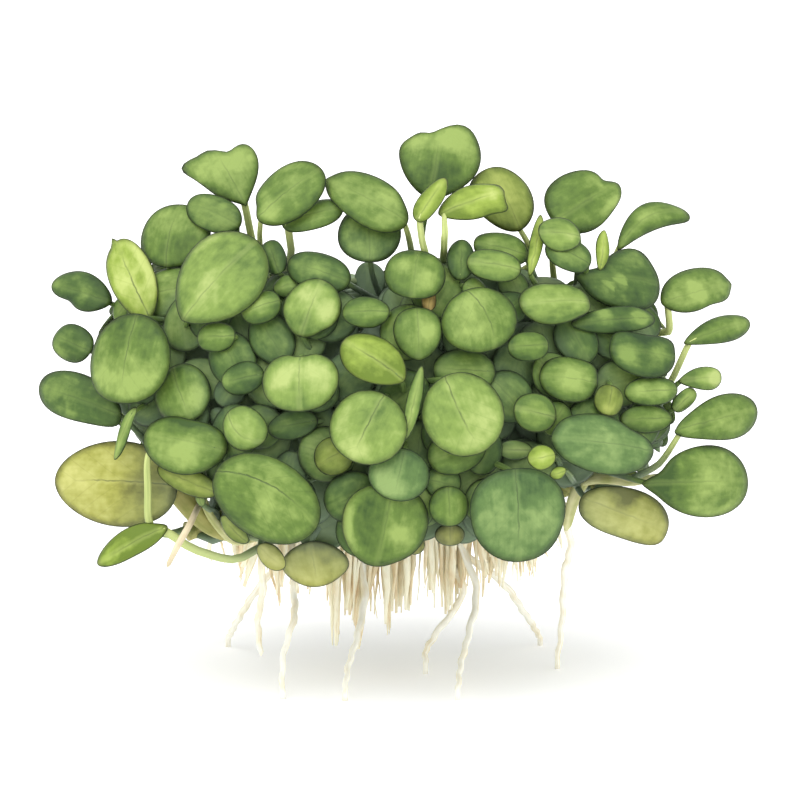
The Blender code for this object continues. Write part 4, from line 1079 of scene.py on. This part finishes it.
def add_petiole(shape, blade, look, route, sides, count, keel=True, material=1):
    """A petiole, which runs on under the blade as the keel of its midrib."""
    stations = []
    if keel:
        tangent = (blade.midrib * KEEL_ALONG + blade.normal * KEEL_OUTWARD).normalized()
        tangent = tangent * route[-1][1].length * look.pull
        height = blade_height(blade, 0.0, KEEL_START) - BLADE_HALF_THICKNESS - KEEL_RADIUS * 0.5
        route = route[:-1] + [(blade_place(blade, look, 0.0, KEEL_START, height), tangent)]
    for step in range(count):
        share = step / (count - 1) * PETIOLE_END
        radius = PETIOLE_FOOT_RADIUS + (KEEL_RADIUS - PETIOLE_FOOT_RADIUS) * share
        radius *= 1.0 + (look.stout - 1.0) * share ** 2
        stations.append((spline(route, share)[0], radius))
    if keel:
        for step in range(KEEL_STATIONS):
            along = KEEL_START + (step + 0.4) / KEEL_STATIONS * KEEL_REACH
            radius = KEEL_RADIUS * (1.0 - KEEL_TAPER * step / (KEEL_STATIONS - 1))
            height = blade_height(blade, 0.0, along) - BLADE_HALF_THICKNESS - radius * 0.35
            rib = look.rib * 4.0 * along * (1.0 - along)
            stations.append((blade_place(blade, look, rib, along, height), radius))
    # The look's petiole value sets how light the petiole is: darker is painted shade for petioles inside the
    # cushion.
    add_tube(shape, stations, sides, material, look.stalk)


def leaf_finish(tint):
    """Leathery leaf, washed unevenly and with painted highlights and shade, a darker edge, dark rim and
    midrib, side veins.
    """
    dark, middle, light = TINTS[tint]
    material, tree, shader = new_finish("leaf_" + tint, 0.55, 0.22)
    margin = read(tree, "margin")
    midrib = read(tree, "midrib")
    along = read(tree, "along")
    vein = read(tree, "vein")
    broad = mottle(tree, 4.0)
    fine = mottle(tree, 1.3, 3.0)
    strokes = streaks(tree, 0.5, 2.0, (1.0, 0.2, 1.0))
    clouds = calc(tree, "MULTIPLY_ADD", broad, 1.9, calc(tree, "MULTIPLY", fine, 1.5))
    # The blade's washes: painted highlights and painted shade, with the leaf's own tone and brush strokes.
    patches = calc(tree, "MULTIPLY_ADD", read(tree, "tone_and_painted_light"), 1.5, calc(tree, "MULTIPLY", strokes, 0.65))
    tone = calc(tree, "ADD", clouds, patches)
    tone = calc(tree, "SUBTRACT", tone, fade(tree, margin, 0.0, 1.5, 0.9, 0.0))
    tone = calc(tree, "MULTIPLY_ADD", tone, 0.42, 0.52)
    colour = washes(tree, tone, ((0.05, dark), (0.5, middle), (0.95, light)))
    side_veins = calc(tree, "MULTIPLY_ADD", calc(tree, "ABSOLUTE", midrib), -0.9,
                      calc(tree, "MULTIPLY", along, 11.0))
    side_veins = fade(tree, calc(tree, "PINGPONG", side_veins, 1.1), 0.0, 0.16, 0.18, 0.0)
    colour = mix_colour(tree, calc(tree, "MULTIPLY", side_veins, vein), colour, dark)
    from_rib = calc(tree, "ABSOLUTE", calc(tree, "MULTIPLY_ADD", fine, 0.5, midrib))
    rib_line = fade(tree, from_rib, 0.03, 0.17, 0.75, 0.0)
    rib_line = calc(tree, "MULTIPLY", rib_line, fade(tree, along, 0.5, 0.9, 1.0, 0.0))
    gaps = fade(tree, calc(tree, "ADD", strokes, fine), -0.25, 0.1, 0.4, 1.0)
    rib_line = calc(tree, "MULTIPLY", rib_line, gaps)
    rib_line = calc(tree, "MULTIPLY", rib_line, calc(tree, "MULTIPLY_ADD", vein, 0.85, 0.12))
    colour = mix_colour(tree, fade(tree, from_rib, 0.2, 0.7, 0.22, 0.0), colour, light)
    colour = mix_colour(tree, rib_line, colour, LINE_COLOUR)
    colour = mix_colour(tree, calc(tree, "MULTIPLY", read(tree, "under"), 0.35), colour, light)
    rim_line = fade(tree, calc(tree, "MULTIPLY_ADD", fine, 0.2, margin), 0.05, 0.2, 0.8, 0.0)
    colour = mix_colour(tree, rim_line, colour, LINE_COLOUR)
    feed(tree, shader.inputs["Base Color"], shaded(tree, colour, LEAF_SHADING))
    rough_surface(tree, shader, calc(tree, "SUBTRACT", fine, calc(tree, "MULTIPLY", rib_line, 0.6)), 0.12)
    return material


leaf_skins = {tint: leaf_finish(tint) for tint in TINTS}


def node_points(names):
    """A search tree of the corners of some solids, in millimetres."""
    points = [vert.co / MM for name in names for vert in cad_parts[name].data.vertices]
    tree = KDTree(len(points))
    for index, point in enumerate(points):
        tree.insert(point, index)
    tree.balance()
    return tree


def find_blade(view, leaf, corners):
    """The blade of a solid leaf: its tip's corner lies on one of the solid's own."""
    def miss(blade):
        half = blade.width / 2.0 * NARROWEST_BLADE
        droop = BLADE_DROOP * blade.width * NARROWEST_BLADE ** 2
        corner = blade.base + blade.midrib * blade.length + blade.side * half - blade.normal * droop
        return corners.find(corner)[2]
    return min((set_blade(view, leaf, step * SINK_STEP) for step in range(SINK_LIMIT)), key=miss)


def find_bud(view, leaf, blade, corners, rooting):
    """The bud of a solid leaf: its petiole's corners lie at the petiole's radius from its curve."""
    def miss(bud):
        route = petiole_route(view, leaf, blade, bud)
        off = 0.0
        for share in RINGS_COMPARED:
            point = spline(route, share)[0]
            found = corners.find_n(point, RING_CORNERS)
            off += sum(abs(distance - petiole_radius(share)) for place, index, distance in found)
        return off
    near = sorted(buds, key=lambda bud: (bud.start - blade.base).length)
    moved = [bud._replace(start=bud.start - bud.outward * rooting) for bud in near]
    return min(moved, key=miss)


# What is taken up so far: a rough shape for each blade and petiole, the small cubes of space that they pass
# through, and the buds that they grow from.
Taken = namedtuple("Taken", "tree middle reach is_blade")
CLEARANCE = 0.15
CELL = 1.1
CELL_TURNS = 24
CELL_RINGS = 8
CELL_STEPS = 39
BUDS_TRIED = 90
CROSSING_CHECKS = 24
CROSSING_START = 0.08
CROSSING_SPAN = 0.84
CROSSING_COST = 8.0
TURN_COST = 6.0
SIDEWAYS_COST = 1.0
SMALL_PULL = 0.45
taken = []
filled = set()
used_buds = set()


def cell(point):
    """The small cube of space that a place lies in."""
    return round(point.x / CELL), round(point.y / CELL), round(point.z / CELL)


def claimed(shape, is_blade):
    """What a rough shape takes up: a search tree, its middle and its reach."""
    low = Vector(min(vert.co[axis] for vert in shape.verts) for axis in range(3))
    high = Vector(max(vert.co[axis] for vert in shape.verts) for axis in range(3))
    claim = Taken(BVHTree.FromBMesh(shape), (low + high) / 2.0, (high - low).length / 2.0, is_blade)
    shape.free()
    return claim


def rough_blade(blade, look, grow=0.0):
    """What a blade takes up, grown by a margin."""
    shape = new_shape()
    add_blade(shape, blade, look, ROUGH_SQUARES, grow)
    return claimed(shape, True)


def rough_petiole(blade, look, route):
    """What a petiole takes up."""
    shape = new_shape()
    add_petiole(shape, blade, look, route, ROUGH_SIDES, ROUGH_STATIONS, keel=False)
    return claimed(shape, False)


def touches(claim, blades_only):
    """Whether a rough shape would touch what is there already."""
    for other in taken:
        if blades_only and not other.is_blade:
            continue
        near = (claim.middle - other.middle).length < claim.reach + other.reach
        if near and claim.tree.overlap(other.tree):
            return True
    return False


def take_up(blade, look, route):
    """Note the space that a leaf takes up."""
    taken.append(rough_blade(blade, look))
    taken.append(rough_petiole(blade, look, route))
    middle = Vector((0.0, blade.length / 2.0))
    for turn in range(CELL_TURNS):
        edge = blade_edge(blade, look, turn * math.pi / (CELL_TURNS / 2))
        for ring in range(CELL_RINGS + 1):
            place = middle + (edge - middle) * (ring / CELL_RINGS)
            along = place.y / blade.length
            filled.add(cell(blade_place(blade, look, place.x, along, blade_height(blade, place.x, along))))
    for step in range(CELL_STEPS + 1):
        filled.add(cell(spline(route, step / CELL_STEPS)[0]))


def rooted(route, bud):
    """A petiole's curve, started inside the rhizome's skin."""
    return [(bud.start - bud.outward * BUD_ROOTING, route[0][1])] + route[1:]


def clear_bud(leaf, blade):
    """A free bud near the blade, from which the petiole crosses little, and how much it crosses."""
    free = [bud for bud in buds if bud.number not in used_buds]
    near = sorted(free, key=lambda bud: (bud.start - blade.base).length)[:BUDS_TRIED]
    best = None
    for bud in near:
        route = petiole_route(FRONT, leaf, blade, bud, SMALL_PULL, True)
        hits = 0
        for step in range(CROSSING_CHECKS):
            share = CROSSING_START + CROSSING_SPAN * step / (CROSSING_CHECKS - 1)
            hits += cell(spline(route, share)[0]) in filled
        turn = 1.0 - bud.outward.dot((blade.base - bud.start).normalized())
        off = blade.base - bud.start
        sideways = (off - FRONT.toward * off.dot(FRONT.toward)).length
        cost = hits * CROSSING_COST + off.length + turn * TURN_COST + sideways * SIDEWAYS_COST
        if best is None or cost < best[0]:
            best = (cost, bud, route, hits)
    cost, bud, route, hits = best
    used_buds.add(bud.number)
    return rooted(route, bud), hits


def add_leaf(shape, blade, look, route, material=0, petiole_material=1):
    """A whole leaf in a piece's shape."""
    first = len(shape.faces)
    add_blade(shape, blade, look, BLADE_SQUARES)
    if material:
        shape.faces.ensure_lookup_table()
        for face in shape.faces[first:]:
            face.material_index = material
    add_petiole(shape, blade, look, route, PETIOLE_SIDES, PETIOLE_STATIONS, material=petiole_material)


# Small leaves are joined into one piece for each part of the cushion.
GROUP_ACROSS = 17.0
GROUP_UP = 45.0
groups = {}


def group_leaf(leaf, blade, route):
    """Put a small leaf with the others of its part of the cushion."""
    middle = blade.base + blade.midrib * (blade.length / 2.0)
    side = "front" if middle.y < 0.0 else "back"
    across = "left" if middle.x < -GROUP_ACROSS else "right" if middle.x > GROUP_ACROSS else "middle"
    part = "upper" if middle.z > GROUP_UP else "lower"
    name = "small_leaves_{}_{}_{}".format(side, across, part)
    if name not in groups:
        groups[name] = new_shape()
    add_leaf(groups[name], blade, leaf.look, route, list(TINTS).index(leaf.tint), len(TINTS))


rhizome_nodes = [branch.name for branch in BRANCHES]
for view, leaves in ((FRONT, FRONT_LEAVES), (BACK, BACK_LEAVES), (BACK, SMALL_BACK_LEAVES)):
    small = leaves is SMALL_BACK_LEAVES
    for leaf in leaves:
        corners = node_points(rhizome_nodes if small else [leaf.name])
        blade = find_blade(view, leaf, corners)
        bud = find_bud(view, leaf, blade, corners, BUD_ROOTING if small else 0.0)
        used_buds.add(bud.number)
        via = leaf.look.through or leaf.via
        route = petiole_route(view, leaf._replace(via=via), blade, bud, taut=not small)
        if not small:
            route = rooted(route, bud)
        blade = refined(view, blade, leaf.look)
        route[-1] = (blade.base, route[-1][1])
        take_up(blade, leaf.look, route)
        if small:
            group_leaf(leaf, blade, route)
            continue
        shape = new_shape()
        add_leaf(shape, blade, leaf.look, route)
        finish_piece(leaf.name + "_skin", shape, [leaf_skins[leaf.tint], petiole_skin],
                     [leaf.name])

# The small leaves in front.
# Young and half hidden leaves fill the gaps between the large ones, each where it is seen. They are grown as
# the large ones are, and each is sunk into the cushion until it is clear of what is there.
SMALL_FRONT_LEAVES = (
    Leaf("between_fishtail_and_ellipse", (-23.6, 68.1), (-31.5, 71.7), 5.6, -2.0, "dark", point=0.5,
         look=Look(tone=0.5, vein=0.1)),
    Leaf("behind_left_olive", (-45.9, 49.2), (-51.6, 51.8), 5.6, 0.0, "dark",
         look=Look(rims=((-60, 50, 0.9),), vein=0.2)),
    Leaf("left_of_middle", (-33.9, 47.1), (-30.8, 38.6), 8.4, 0.5, "mid", point=0.5,
         look=Look(patches=((-0.5, 0.65, 0.4, 0.9), (0.0, 0.1, 0.6, -0.5)), vein=0.3)),
    Leaf("left_row_1", (-24.3, 51.6), (-30.2, 51.3), 4.4, 0.0, "mid"),
    Leaf("left_row_2", (-20.7, 52.5), (-28.2, 49.2), 4.6, -1.5, "dark"),
    Leaf("left_row_3", (-17.6, 57.0), (-23.6, 54.9), 4.9, 0.0, "mid",
         look=Look(patches=((0.0, 0.5, 0.5, 0.7),))),
    Leaf("left_row_4", (-20.1, 46.0), (-26.4, 44.5), 4.8, -1.0, "dark", look=Look(rims=((0, 50, 0.8),))),
    Leaf("light_curled", (-25.5, 40.2), (-20.1, 35.7), 6.3, 1.0, "light", look=Look(bend=0.05, rib=1.0)),
    Leaf("dark_under_notched", (-12.0, 39.0), (-19.5, 37.5), 4.2, -2.5, "dark"),
    Leaf("olive_under_middle", (-6.9, 35.1), (-12.3, 32.1), 5.6, -1.0, "olive"),
    Leaf("under_lightest", (13.1, 36.0), (4.5, 32.7), 6.6, -1.0, "mid"),
    Leaf("over_yellow", (-1.2, 55.2), (-8.4, 55.1), 4.6, 0.0, "mid"),
    Leaf("over_lightest", (2.9, 56.0), (3.1, 47.8), 7.1, 0.0, "mid", widest=0.42, point=0.6,
         look=Look(patches=((-0.45, 0.5, 0.4, 0.9),), vein=0.2)),
    Leaf("upper_row_1", (-7.2, 59.6), (-16.5, 62.7), 5.8, -1.5, "dark",
         look=Look(patches=((0.0, 0.5, 0.4, 0.8),), vein=0.2)),
    Leaf("upper_row_2", (-17.7, 60.8), (-19.5, 66.0), 3.6, -1.5, "dark"),
    Leaf("upper_row_3", (-3.9, 57.3), (-4.5, 62.7), 4.6, -2.0, "dark"),
    Leaf("behind_top_ellipse", (-17.4, 68.2), (-8.2, 71.0), 4.4, 1.0, "mid", point=0.5,
         via=((-16.4, 60.5, -5.0), (-16.0, 64.5, -2.0)), look=Look(stalk=0.2, stout=1.5, pull=0.2)),
    Leaf("light_before_top_right", (27.5, 66.6), (21.0, 67.1), 4.9, 4.5, "light",
         look=Look(patches=((0.0, 0.3, 0.5, 0.4),), tone=-0.1)),
    Leaf("dark_before_top_right", (28.9, 62.3), (22.2, 65.5), 4.9, 3.0, "dark", look=Look(tone=0.2)),
    Leaf("rolled_top_right_1", (19.7, 60.6), (21.5, 69.8), 2.0, 1.0, "bright", point=0.55),
    Leaf("rolled_top_right_2", (30.3, 61.5), (30.9, 67.4), 2.1, 1.0, "bright", point=0.55),
    Leaf("olive_strip_right", (25.8, 57.8), (19.5, 59.4), 3.6, -2.0, "olive", point=0.5),
    Leaf("dark_strip_right", (38.6, 54.3), (25.9, 53.3), 3.9, 0.0, "dark", widest=0.45, point=0.56,
         look=Look(patches=((0.1, 0.18, 0.7, 1.7), (0.7, 0.62, 0.6, 1.3), (-0.3, 0.45, 0.6, -0.5)))),
    Leaf("bulb_right", (42.1, 44.9), (48.5, 45.4), 3.6, 1.0, "light", widest=0.64, point=0.42,
         look=Look(patches=((0.0, 0.15, 0.8, -1.6), (0.1, 0.85, 0.8, 1.4)), vein=0.1)),
    Leaf("right_row_1", (42.0, 43.5), (33.9, 43.1), 4.3, 0.0, "mid",
         look=Look(patches=((0.0, 0.3, 0.5, 0.6), (0.0, 0.75, 0.5, 0.6)))),
    Leaf("right_row_2", (41.1, 39.3), (33.3, 39.0), 4.2, 0.0, "mid"),
    Leaf("right_row_3", (32.1, 44.3), (31.2, 39.6), 4.4, 0.0, "olive",
         look=Look(patches=((0.0, 0.9, 0.6, 0.8),))),
    Leaf("low_row_1", (7.5, 29.1), (7.8, 23.0), 5.8, -1.0, "mid"),
    Leaf("low_row_2", (7.8, 23.4), (7.8, 20.1), 4.4, -4.0, "yellow"),
    Leaf("low_row_3", (2.1, 22.2), (2.9, 18.8), 3.0, -4.0, "yellow"),
    Leaf("light_bits_1", (20.1, 34.5), (14.9, 34.5), 2.9, 0.0, "light"),
    Leaf("light_bits_2", (23.6, 33.8), (19.5, 33.0), 3.7, 1.5, "bright"),
    Leaf("light_bits_3", (25.2, 31.5), (22.8, 30.6), 1.8, 1.0, "bright"),
    Leaf("right_of_lightest", (23.8, 39.4), (17.3, 40.8), 5.6, -0.5, "light", look=Look(tone=-0.3)),
    Leaf("under_upper_right", (22.7, 50.3), (16.4, 49.8), 4.4, 0.5, "mid"),
    Leaf("over_upper_right_1", (18.5, 61.5), (10.3, 62.8), 4.8, 0.5, "light", look=Look(tone=-0.2)),
    Leaf("over_upper_right_2", (19.6, 63.7), (11.3, 65.5), 4.9, -1.0, "mid"),
    Leaf("over_upper_right_3", (9.3, 60.0), (9.6, 66.0), 4.2, -1.0, "dark"),
    Leaf("behind_lightest", (14.7, 46.2), (5.2, 46.6), 6.4, -1.0, "mid"),
    Leaf("rolled_middle", (1.1, 36.0), (3.6, 47.1), 2.2, 3.0, "light", point=0.55),
    Leaf("tan_bit", (4.6, 55.2), (4.7, 58.6), 2.2, 0.5, "tan", point=0.5),
    Leaf("rolled_heart", (2.8, 68.9), (7.2, 75.2), 3.3, 5.0, "bright", widest=0.42, point=0.55,
         via=((4.4, 62.0, -3.0), (3.7, 65.6, -0.8)),
         look=Look(tone=-0.1, stalk=0.15, stout=1.25, pull=0.2)),
    Leaf("rolled_low_left", (-39.4, 41.0), (-42.4, 33.0), 1.7, 1.5, "light", widest=0.45, point=0.5),
    Leaf("sheath_left_1", (-27.0, 28.0), (-36.0, 32.0), 4.0, -2.0, "olive", point=0.5, look=Look(tone=0.2)),
    Leaf("sheath_left_2", (-22.5, 20.6), (-26.5, 24.5), 2.6, -3.0, "olive", point=0.5, look=Look(tone=0.2)),
    Leaf("sheath_left_3", (-29.3, 26.0), (-30.4, 31.0), 1.7, -2.0, "light", point=0.5),
    Leaf("sheath_left_4", (-26.5, 23.0), (-30.5, 27.5), 2.6, -2.0, "yellow", point=0.5,
         look=Look(tone=-0.2)),
    Leaf("sheath_right_1", (28.6, 31.2), (35.6, 29.6), 2.2, -10.0, "yellow", point=0.5),
    Leaf("sheath_right_2", (30.0, 29.9), (36.4, 30.8), 1.8, -8.0, "olive", point=0.5),
    Leaf("sheath_right_3", (27.2, 30.6), (24.0, 32.3), 2.2, -8.0, "bright", point=0.5),
    Leaf("low_left_bit", (-21.0, 20.2), (-17.0, 16.8), 3.2, -5.0, "yellow", point=0.5,
         look=Look(tone=0.6, vein=0.1)),
    Leaf("right_strip", (41.2, 40.4), (44.6, 43.6), 2.6, 0.0, "light", point=0.5),
)


def grow(leaf, blade_at, limit, fits=None, blades_only=False, most_hits=CROSSING_CHECKS):
    """Sink a leaf until it fits and is clear, and lead its petiole to a bud: whether it could be grown."""
    for step in range(limit):
        blade = blade_at(step * SINK_STEP)
        if fits and not fits(blade):
            continue
        if not touches(rough_blade(blade, leaf.look, CLEARANCE), blades_only):
            route, hits = clear_bud(leaf, blade)
            if hits > most_hits:
                return False
            take_up(blade, leaf.look, route)
            group_leaf(leaf, blade, route)
            return True
    return False


for leaf in SMALL_FRONT_LEAVES:
    grow(leaf, partial(set_blade, FRONT, leaf), SINK_LIMIT * 2)

# The hidden leaves.
# The cushion is full: darker leaves stand behind the ones in front, and the back, the sides and the top are
# as crowded as the front is. None of them stands before a leaf that the picture shows.
HIDDEN_SEED = 12
HIDDEN_STEP = 5.8
HIDDEN_ROWS = 8
HIDDEN_COLUMNS = 8
HIDDEN_FOOT = 21.0
HIDDEN_LAYERS = (-2.5, -6.0, -10.0)
HIDDEN_JITTER = 1.5
HIDDEN_SWING = 1.2
HIDDEN_FAN = 0.01
HIDDEN_LENGTHS = (6.5, 9.5)
# Two of three hidden leaves take the dark tint: painted shade for the depth they stand at.
HIDDEN_SHADE_TINTS = ("dark", "dark", "mid")
HIDDEN_SINK = 8
HIDDEN_CROSSINGS = 2
DARK_LOOK = Look(tone=0.1, vein=0.2)
DARK_WIDTHS = (0.75, 0.95)
DARK_TILT = 0.2
SHELL_LEAVES = 420
SHELL_REACH = 1.6
SHELL_FRONT = -0.45
SHELL_CROWN = 0.8
SHELL_JITTER = 0.1
SHELL_TILT = 0.25
SHELL_LIFT = 0.35
SHELL_SWING = 1.1
SHELL_LENGTHS = (8.0, 11.5)
SHELL_WIDTHS = (0.78, 0.98)
SHELL_SINK = 26
SHELL_CROSSINGS = 3
SHELL_TINTS = ("mid", "mid", "mid", "dark", "light", "blue", "olive")
GOLDEN_TURN = math.pi * (3.0 - math.sqrt(5.0))
HOLE_STEP = 1.6
HOLE_REACH = 48.0
HOLE_ROWS = int(HOLE_REACH / HOLE_STEP)
HOLE_FOOT = 18.0
HOLE_SIZES = (8.5, 7.0, 5.5, 4.0)
HOLE_LAYERS = (-2.0, -5.0, -8.0)
HOLE_JITTER = 0.4
HOLE_SWING = 1.4
HOLE_SHIFT = 0.3
# The tints of the leaves that close the holes are painted shade.
HOLE_SHADE_TINTS = ("dark", "mid")
HOLE_SINK = 5
DEEP = 12.0
VIEW_DEPTH = 80.0
EDGE_PLACES = 8
# The closed part of the cushion as seen from the front, across and up.
BODY = ((-44.7, 52.5), (-41.5, 60.0), (-36.5, 64.5), (-29.7, 67.5), (-20.4, 63.5), (-16.2, 62.7),
        (-6.9, 60.8), (0.3, 62.7), (6.3, 62.7), (10.8, 64.5), (18.3, 62.7), (22.1, 59.3), (30.3, 60.0),
        (38.6, 57.0), (40.1, 52.5), (40.1, 45.8), (42.3, 42.0), (41.1, 36.0), (37.8, 31.5), (38.6, 30.0),
        (24.3, 28.5), (21.3, 18.8), (9.3, 20.3), (-7.2, 18.0), (-22.2, 21.0), (-26.5, 26.5),
        (-29.5, 31.5), (-37.0, 33.5), (-43.2, 39.8), (-46.2, 42.0), (-46.2, 49.5))


def inside_body(across, up):
    """Whether a place is seen within the closed part of the cushion."""
    inside = False
    for (first_across, first_up), (second_across, second_up) in zip(BODY, BODY[1:] + BODY[:1]):
        if (first_up > up) != (second_up > up):
            share = (up - first_up) / (second_up - first_up)
            if across < first_across + (second_across - first_across) * share:
                inside = not inside
    return inside


def edge_places(blade):
    """Places round a blade's edge."""
    places = []
    for turn in range(EDGE_PLACES):
        edge = blade_edge(blade, PLAIN, turn * math.pi / (EDGE_PLACES / 2))
        places.append(blade_place(blade, PLAIN, edge.x, edge.y / blade.length, 0.0))
    return places


def seen_inside(blade):
    """Whether the whole blade is seen within the closed part of the cushion."""
    return all(inside_body(*seen_at(place)) for place in edge_places(blade))


def hides_nothing(blade):
    """Whether a blade is seen within the cushion's closed part and before no leaf that the picture shows."""
    if not seen_inside(blade):
        return False
    ahead = -FRONT.toward
    places = [blade.base + blade.midrib * (blade.length / 2.0)] + edge_places(blade)
    for other in shown:
        for place in places:
            off = other.middle - place
            near = (off - ahead * off.dot(ahead)).length < other.reach
            if near and other.tree.ray_cast(place, ahead)[0]:
                return False
    return True


def covered(across, up):
    """Whether a blade that isn't deep in the cushion is what is seen at a place."""
    start = view_point(FRONT, across, up, VIEW_DEPTH)
    ahead = (view_point(FRONT, across, up, -VIEW_DEPTH) - start).normalized()
    nearest = VIEW_DEPTH - dome_depth(FRONT, across, up) + DEEP
    found = False
    for other in taken:
        off = other.middle - start
        if (off - ahead * off.dot(ahead)).length < other.reach:
            distance = other.tree.ray_cast(start, ahead)[3]
            if distance is not None and distance < nearest:
                nearest = distance
                found = other.is_blade
    return found


def shade_tinted_leaf(across, up, turn, length, layer, tint):
    """A leaf deep in the cushion, its tint painted shade, whose blade's middle is seen at (across, up)."""
    reach = Vector((math.cos(turn), math.sin(turn))) * (length / 2.0)
    width = length * draw.uniform(*DARK_WIDTHS)
    facing = (either_way(DARK_TILT), 0.0)
    return Leaf("dark", (across - reach.x, up - reach.y), (across + reach.x, up + reach.y), width, layer,
                tint, facing, look=DARK_LOOK)


def laid_blade(leaf, place, facing, midrib, length, sunk):
    """The frame of a blade that lies over a place, square to a facing, when it lies sunk deeper."""
    middle = place - facing * sunk
    side = midrib.cross(facing).normalized()
    return Blade(middle - midrib * (length / 2.0), midrib, side, side.cross(midrib), length, leaf.width,
                 leaf.widest, leaf.point)


shown = [other for other in taken if other.is_blade and other.middle.y < 0.0]
draw = random.Random(HIDDEN_SEED)
for layer in HIDDEN_LAYERS:
    for row in range(HIDDEN_ROWS):
        for column in range(-HIDDEN_COLUMNS, HIDDEN_COLUMNS + 1):
            across = (column + 0.5 * (row % 2)) * HIDDEN_STEP + either_way(HIDDEN_JITTER)
            up = HIDDEN_FOOT + row * HIDDEN_STEP + either_way(HIDDEN_JITTER)
            turn = either_way(HIDDEN_SWING) - math.pi / 2.0 - across * HIDDEN_FAN
            length = draw.uniform(*HIDDEN_LENGTHS)
            leaf = shade_tinted_leaf(across, up, turn, length, layer, draw.choice(HIDDEN_SHADE_TINTS))
            if seen_inside(set_blade(FRONT, leaf, 0.0)):
                grow(leaf, partial(set_blade, FRONT, leaf), HIDDEN_SINK, hides_nothing,
                     most_hits=HIDDEN_CROSSINGS)

# Leaves of every tint over the shell of the back, the sides and the top, evenly spread by the golden turn.
# Each has a frame of its own, so where its base and tip are seen isn't given.
for number in range(SHELL_LEAVES):
    height = 1.0 - SHELL_REACH * (number + 0.5) / SHELL_LEAVES
    turn = number * GOLDEN_TURN + either_way(SHELL_JITTER)
    flat = math.sqrt(1.0 - height ** 2)
    outward = Vector((flat * math.cos(turn), flat * math.sin(turn), height))
    if outward.y < SHELL_FRONT and height < SHELL_CROWN:
        continue
    place = Vector(SHELL_MIDDLE[axis] + SHELL_SIZE[axis] * outward[axis] for axis in range(3))
    facing = Vector(outward[axis] / SHELL_SIZE[axis] for axis in range(3)).normalized()
    tilt = Vector((either_way(SHELL_TILT), either_way(SHELL_TILT), SHELL_LIFT))
    facing = (facing + tilt).normalized()
    downward = facing.cross(Vector((-outward.y, outward.x, 0.05))).normalized()
    if downward.z > 0.0:
        downward = -downward
    swing = either_way(SHELL_SWING)
    midrib = (downward * math.cos(swing) + downward.cross(facing) * math.sin(swing)).normalized()
    length = draw.uniform(*SHELL_LENGTHS)
    width = length * draw.uniform(*SHELL_WIDTHS)
    tint = draw.choice(SHELL_TINTS)
    look = Look(tone=either_way(0.3), rib=either_way(0.5), vein=0.5,
                patches=((either_way(0.5), draw.uniform(0.2, 0.8), 0.5, draw.uniform(-0.5, 0.7)),))
    leaf = Leaf("shell", (0, 0), (0, 0), width, 0.0, tint, widest=draw.uniform(0.46, 0.56), look=look)
    grow(leaf, partial(laid_blade, leaf, place, facing, midrib, length), SHELL_SINK, hides_nothing,
         most_hits=SHELL_CROSSINGS)

# Ever smaller leaves, dark and mid green as painted shade, wherever the view from the front still finds a
# way in.
for size in HOLE_SIZES:
    for row in range(HOLE_ROWS):
        for column in range(-HOLE_ROWS, HOLE_ROWS):
            across = column * HOLE_STEP + either_way(HOLE_JITTER)
            up = HOLE_FOOT + row * HOLE_STEP + either_way(HOLE_JITTER)
            if not inside_body(across, up) or covered(across, up):
                continue
            for layer in HOLE_LAYERS:
                turn = either_way(HOLE_SWING) - math.pi / 2.0
                shift = Vector((either_way(HOLE_SHIFT), either_way(HOLE_SHIFT))) * size
                leaf = shade_tinted_leaf(across + shift.x, up + shift.y, turn, size, layer, "mid")
                leaf = leaf._replace(tint=draw.choice(HOLE_SHADE_TINTS))
                blade_at = partial(set_blade, FRONT, leaf)
                if seen_inside(blade_at(0.0)) and grow(leaf, blade_at, HOLE_SINK, hides_nothing, True):
                    break

for name, shape in groups.items():
    finish_piece(name, shape, [leaf_skins[tint] for tint in TINTS] + [petiole_skin])

# The floor and the light.
# A plain pale floor, and soft studio light from above, in front and to the left.
FLOOR_SIZE = 8.0
FLOOR_GLOW = 0.2
SKY_LIGHT = 1.12
floor_shape = bmesh.new()
bmesh.ops.create_grid(floor_shape, x_segments=1, y_segments=1, size=FLOOR_SIZE / 2.0)
floor_mesh = bpy.data.meshes.new("floor")
floor_shape.to_mesh(floor_mesh)
floor_shape.free()
floor = new_object("floor", floor_mesh)
floor_finish, floor_tree, floor_shader = new_finish("pale_floor", 0.9, 0.1)
floor_shader.inputs["Base Color"].default_value = (0.96, 0.96, 0.955, 1.0)
floor_shader.inputs["Emission Color"].default_value = (1.0, 1.0, 1.0, 1.0)
floor_shader.inputs["Emission Strength"].default_value = FLOOR_GLOW
floor_mesh.materials.append(floor_finish)

for name, towards, angle, power in (("key_light", (-0.45, -0.8, 1.3), 60.0, 1.72),
                                    ("fill_light", (0.8, -0.9, 0.8), 80.0, 0.7)):
    lamp = bpy.data.lights.new(name, "SUN")
    lamp.angle = math.radians(angle)
    lamp.energy = power
    light = new_object(name, lamp)
    light.rotation_euler = Vector(towards).to_track_quat("Z", "Y").to_euler()
sky = bpy.data.worlds.new("studio")
sky.use_nodes = True
sky.node_tree.nodes["Background"].inputs["Color"].default_value = (1.0, 1.0, 1.0, 1.0)
sky.node_tree.nodes["Background"].inputs["Strength"].default_value = SKY_LIGHT
bpy.context.scene.world = sky
bpy.context.scene.view_settings.view_transform = "Standard"
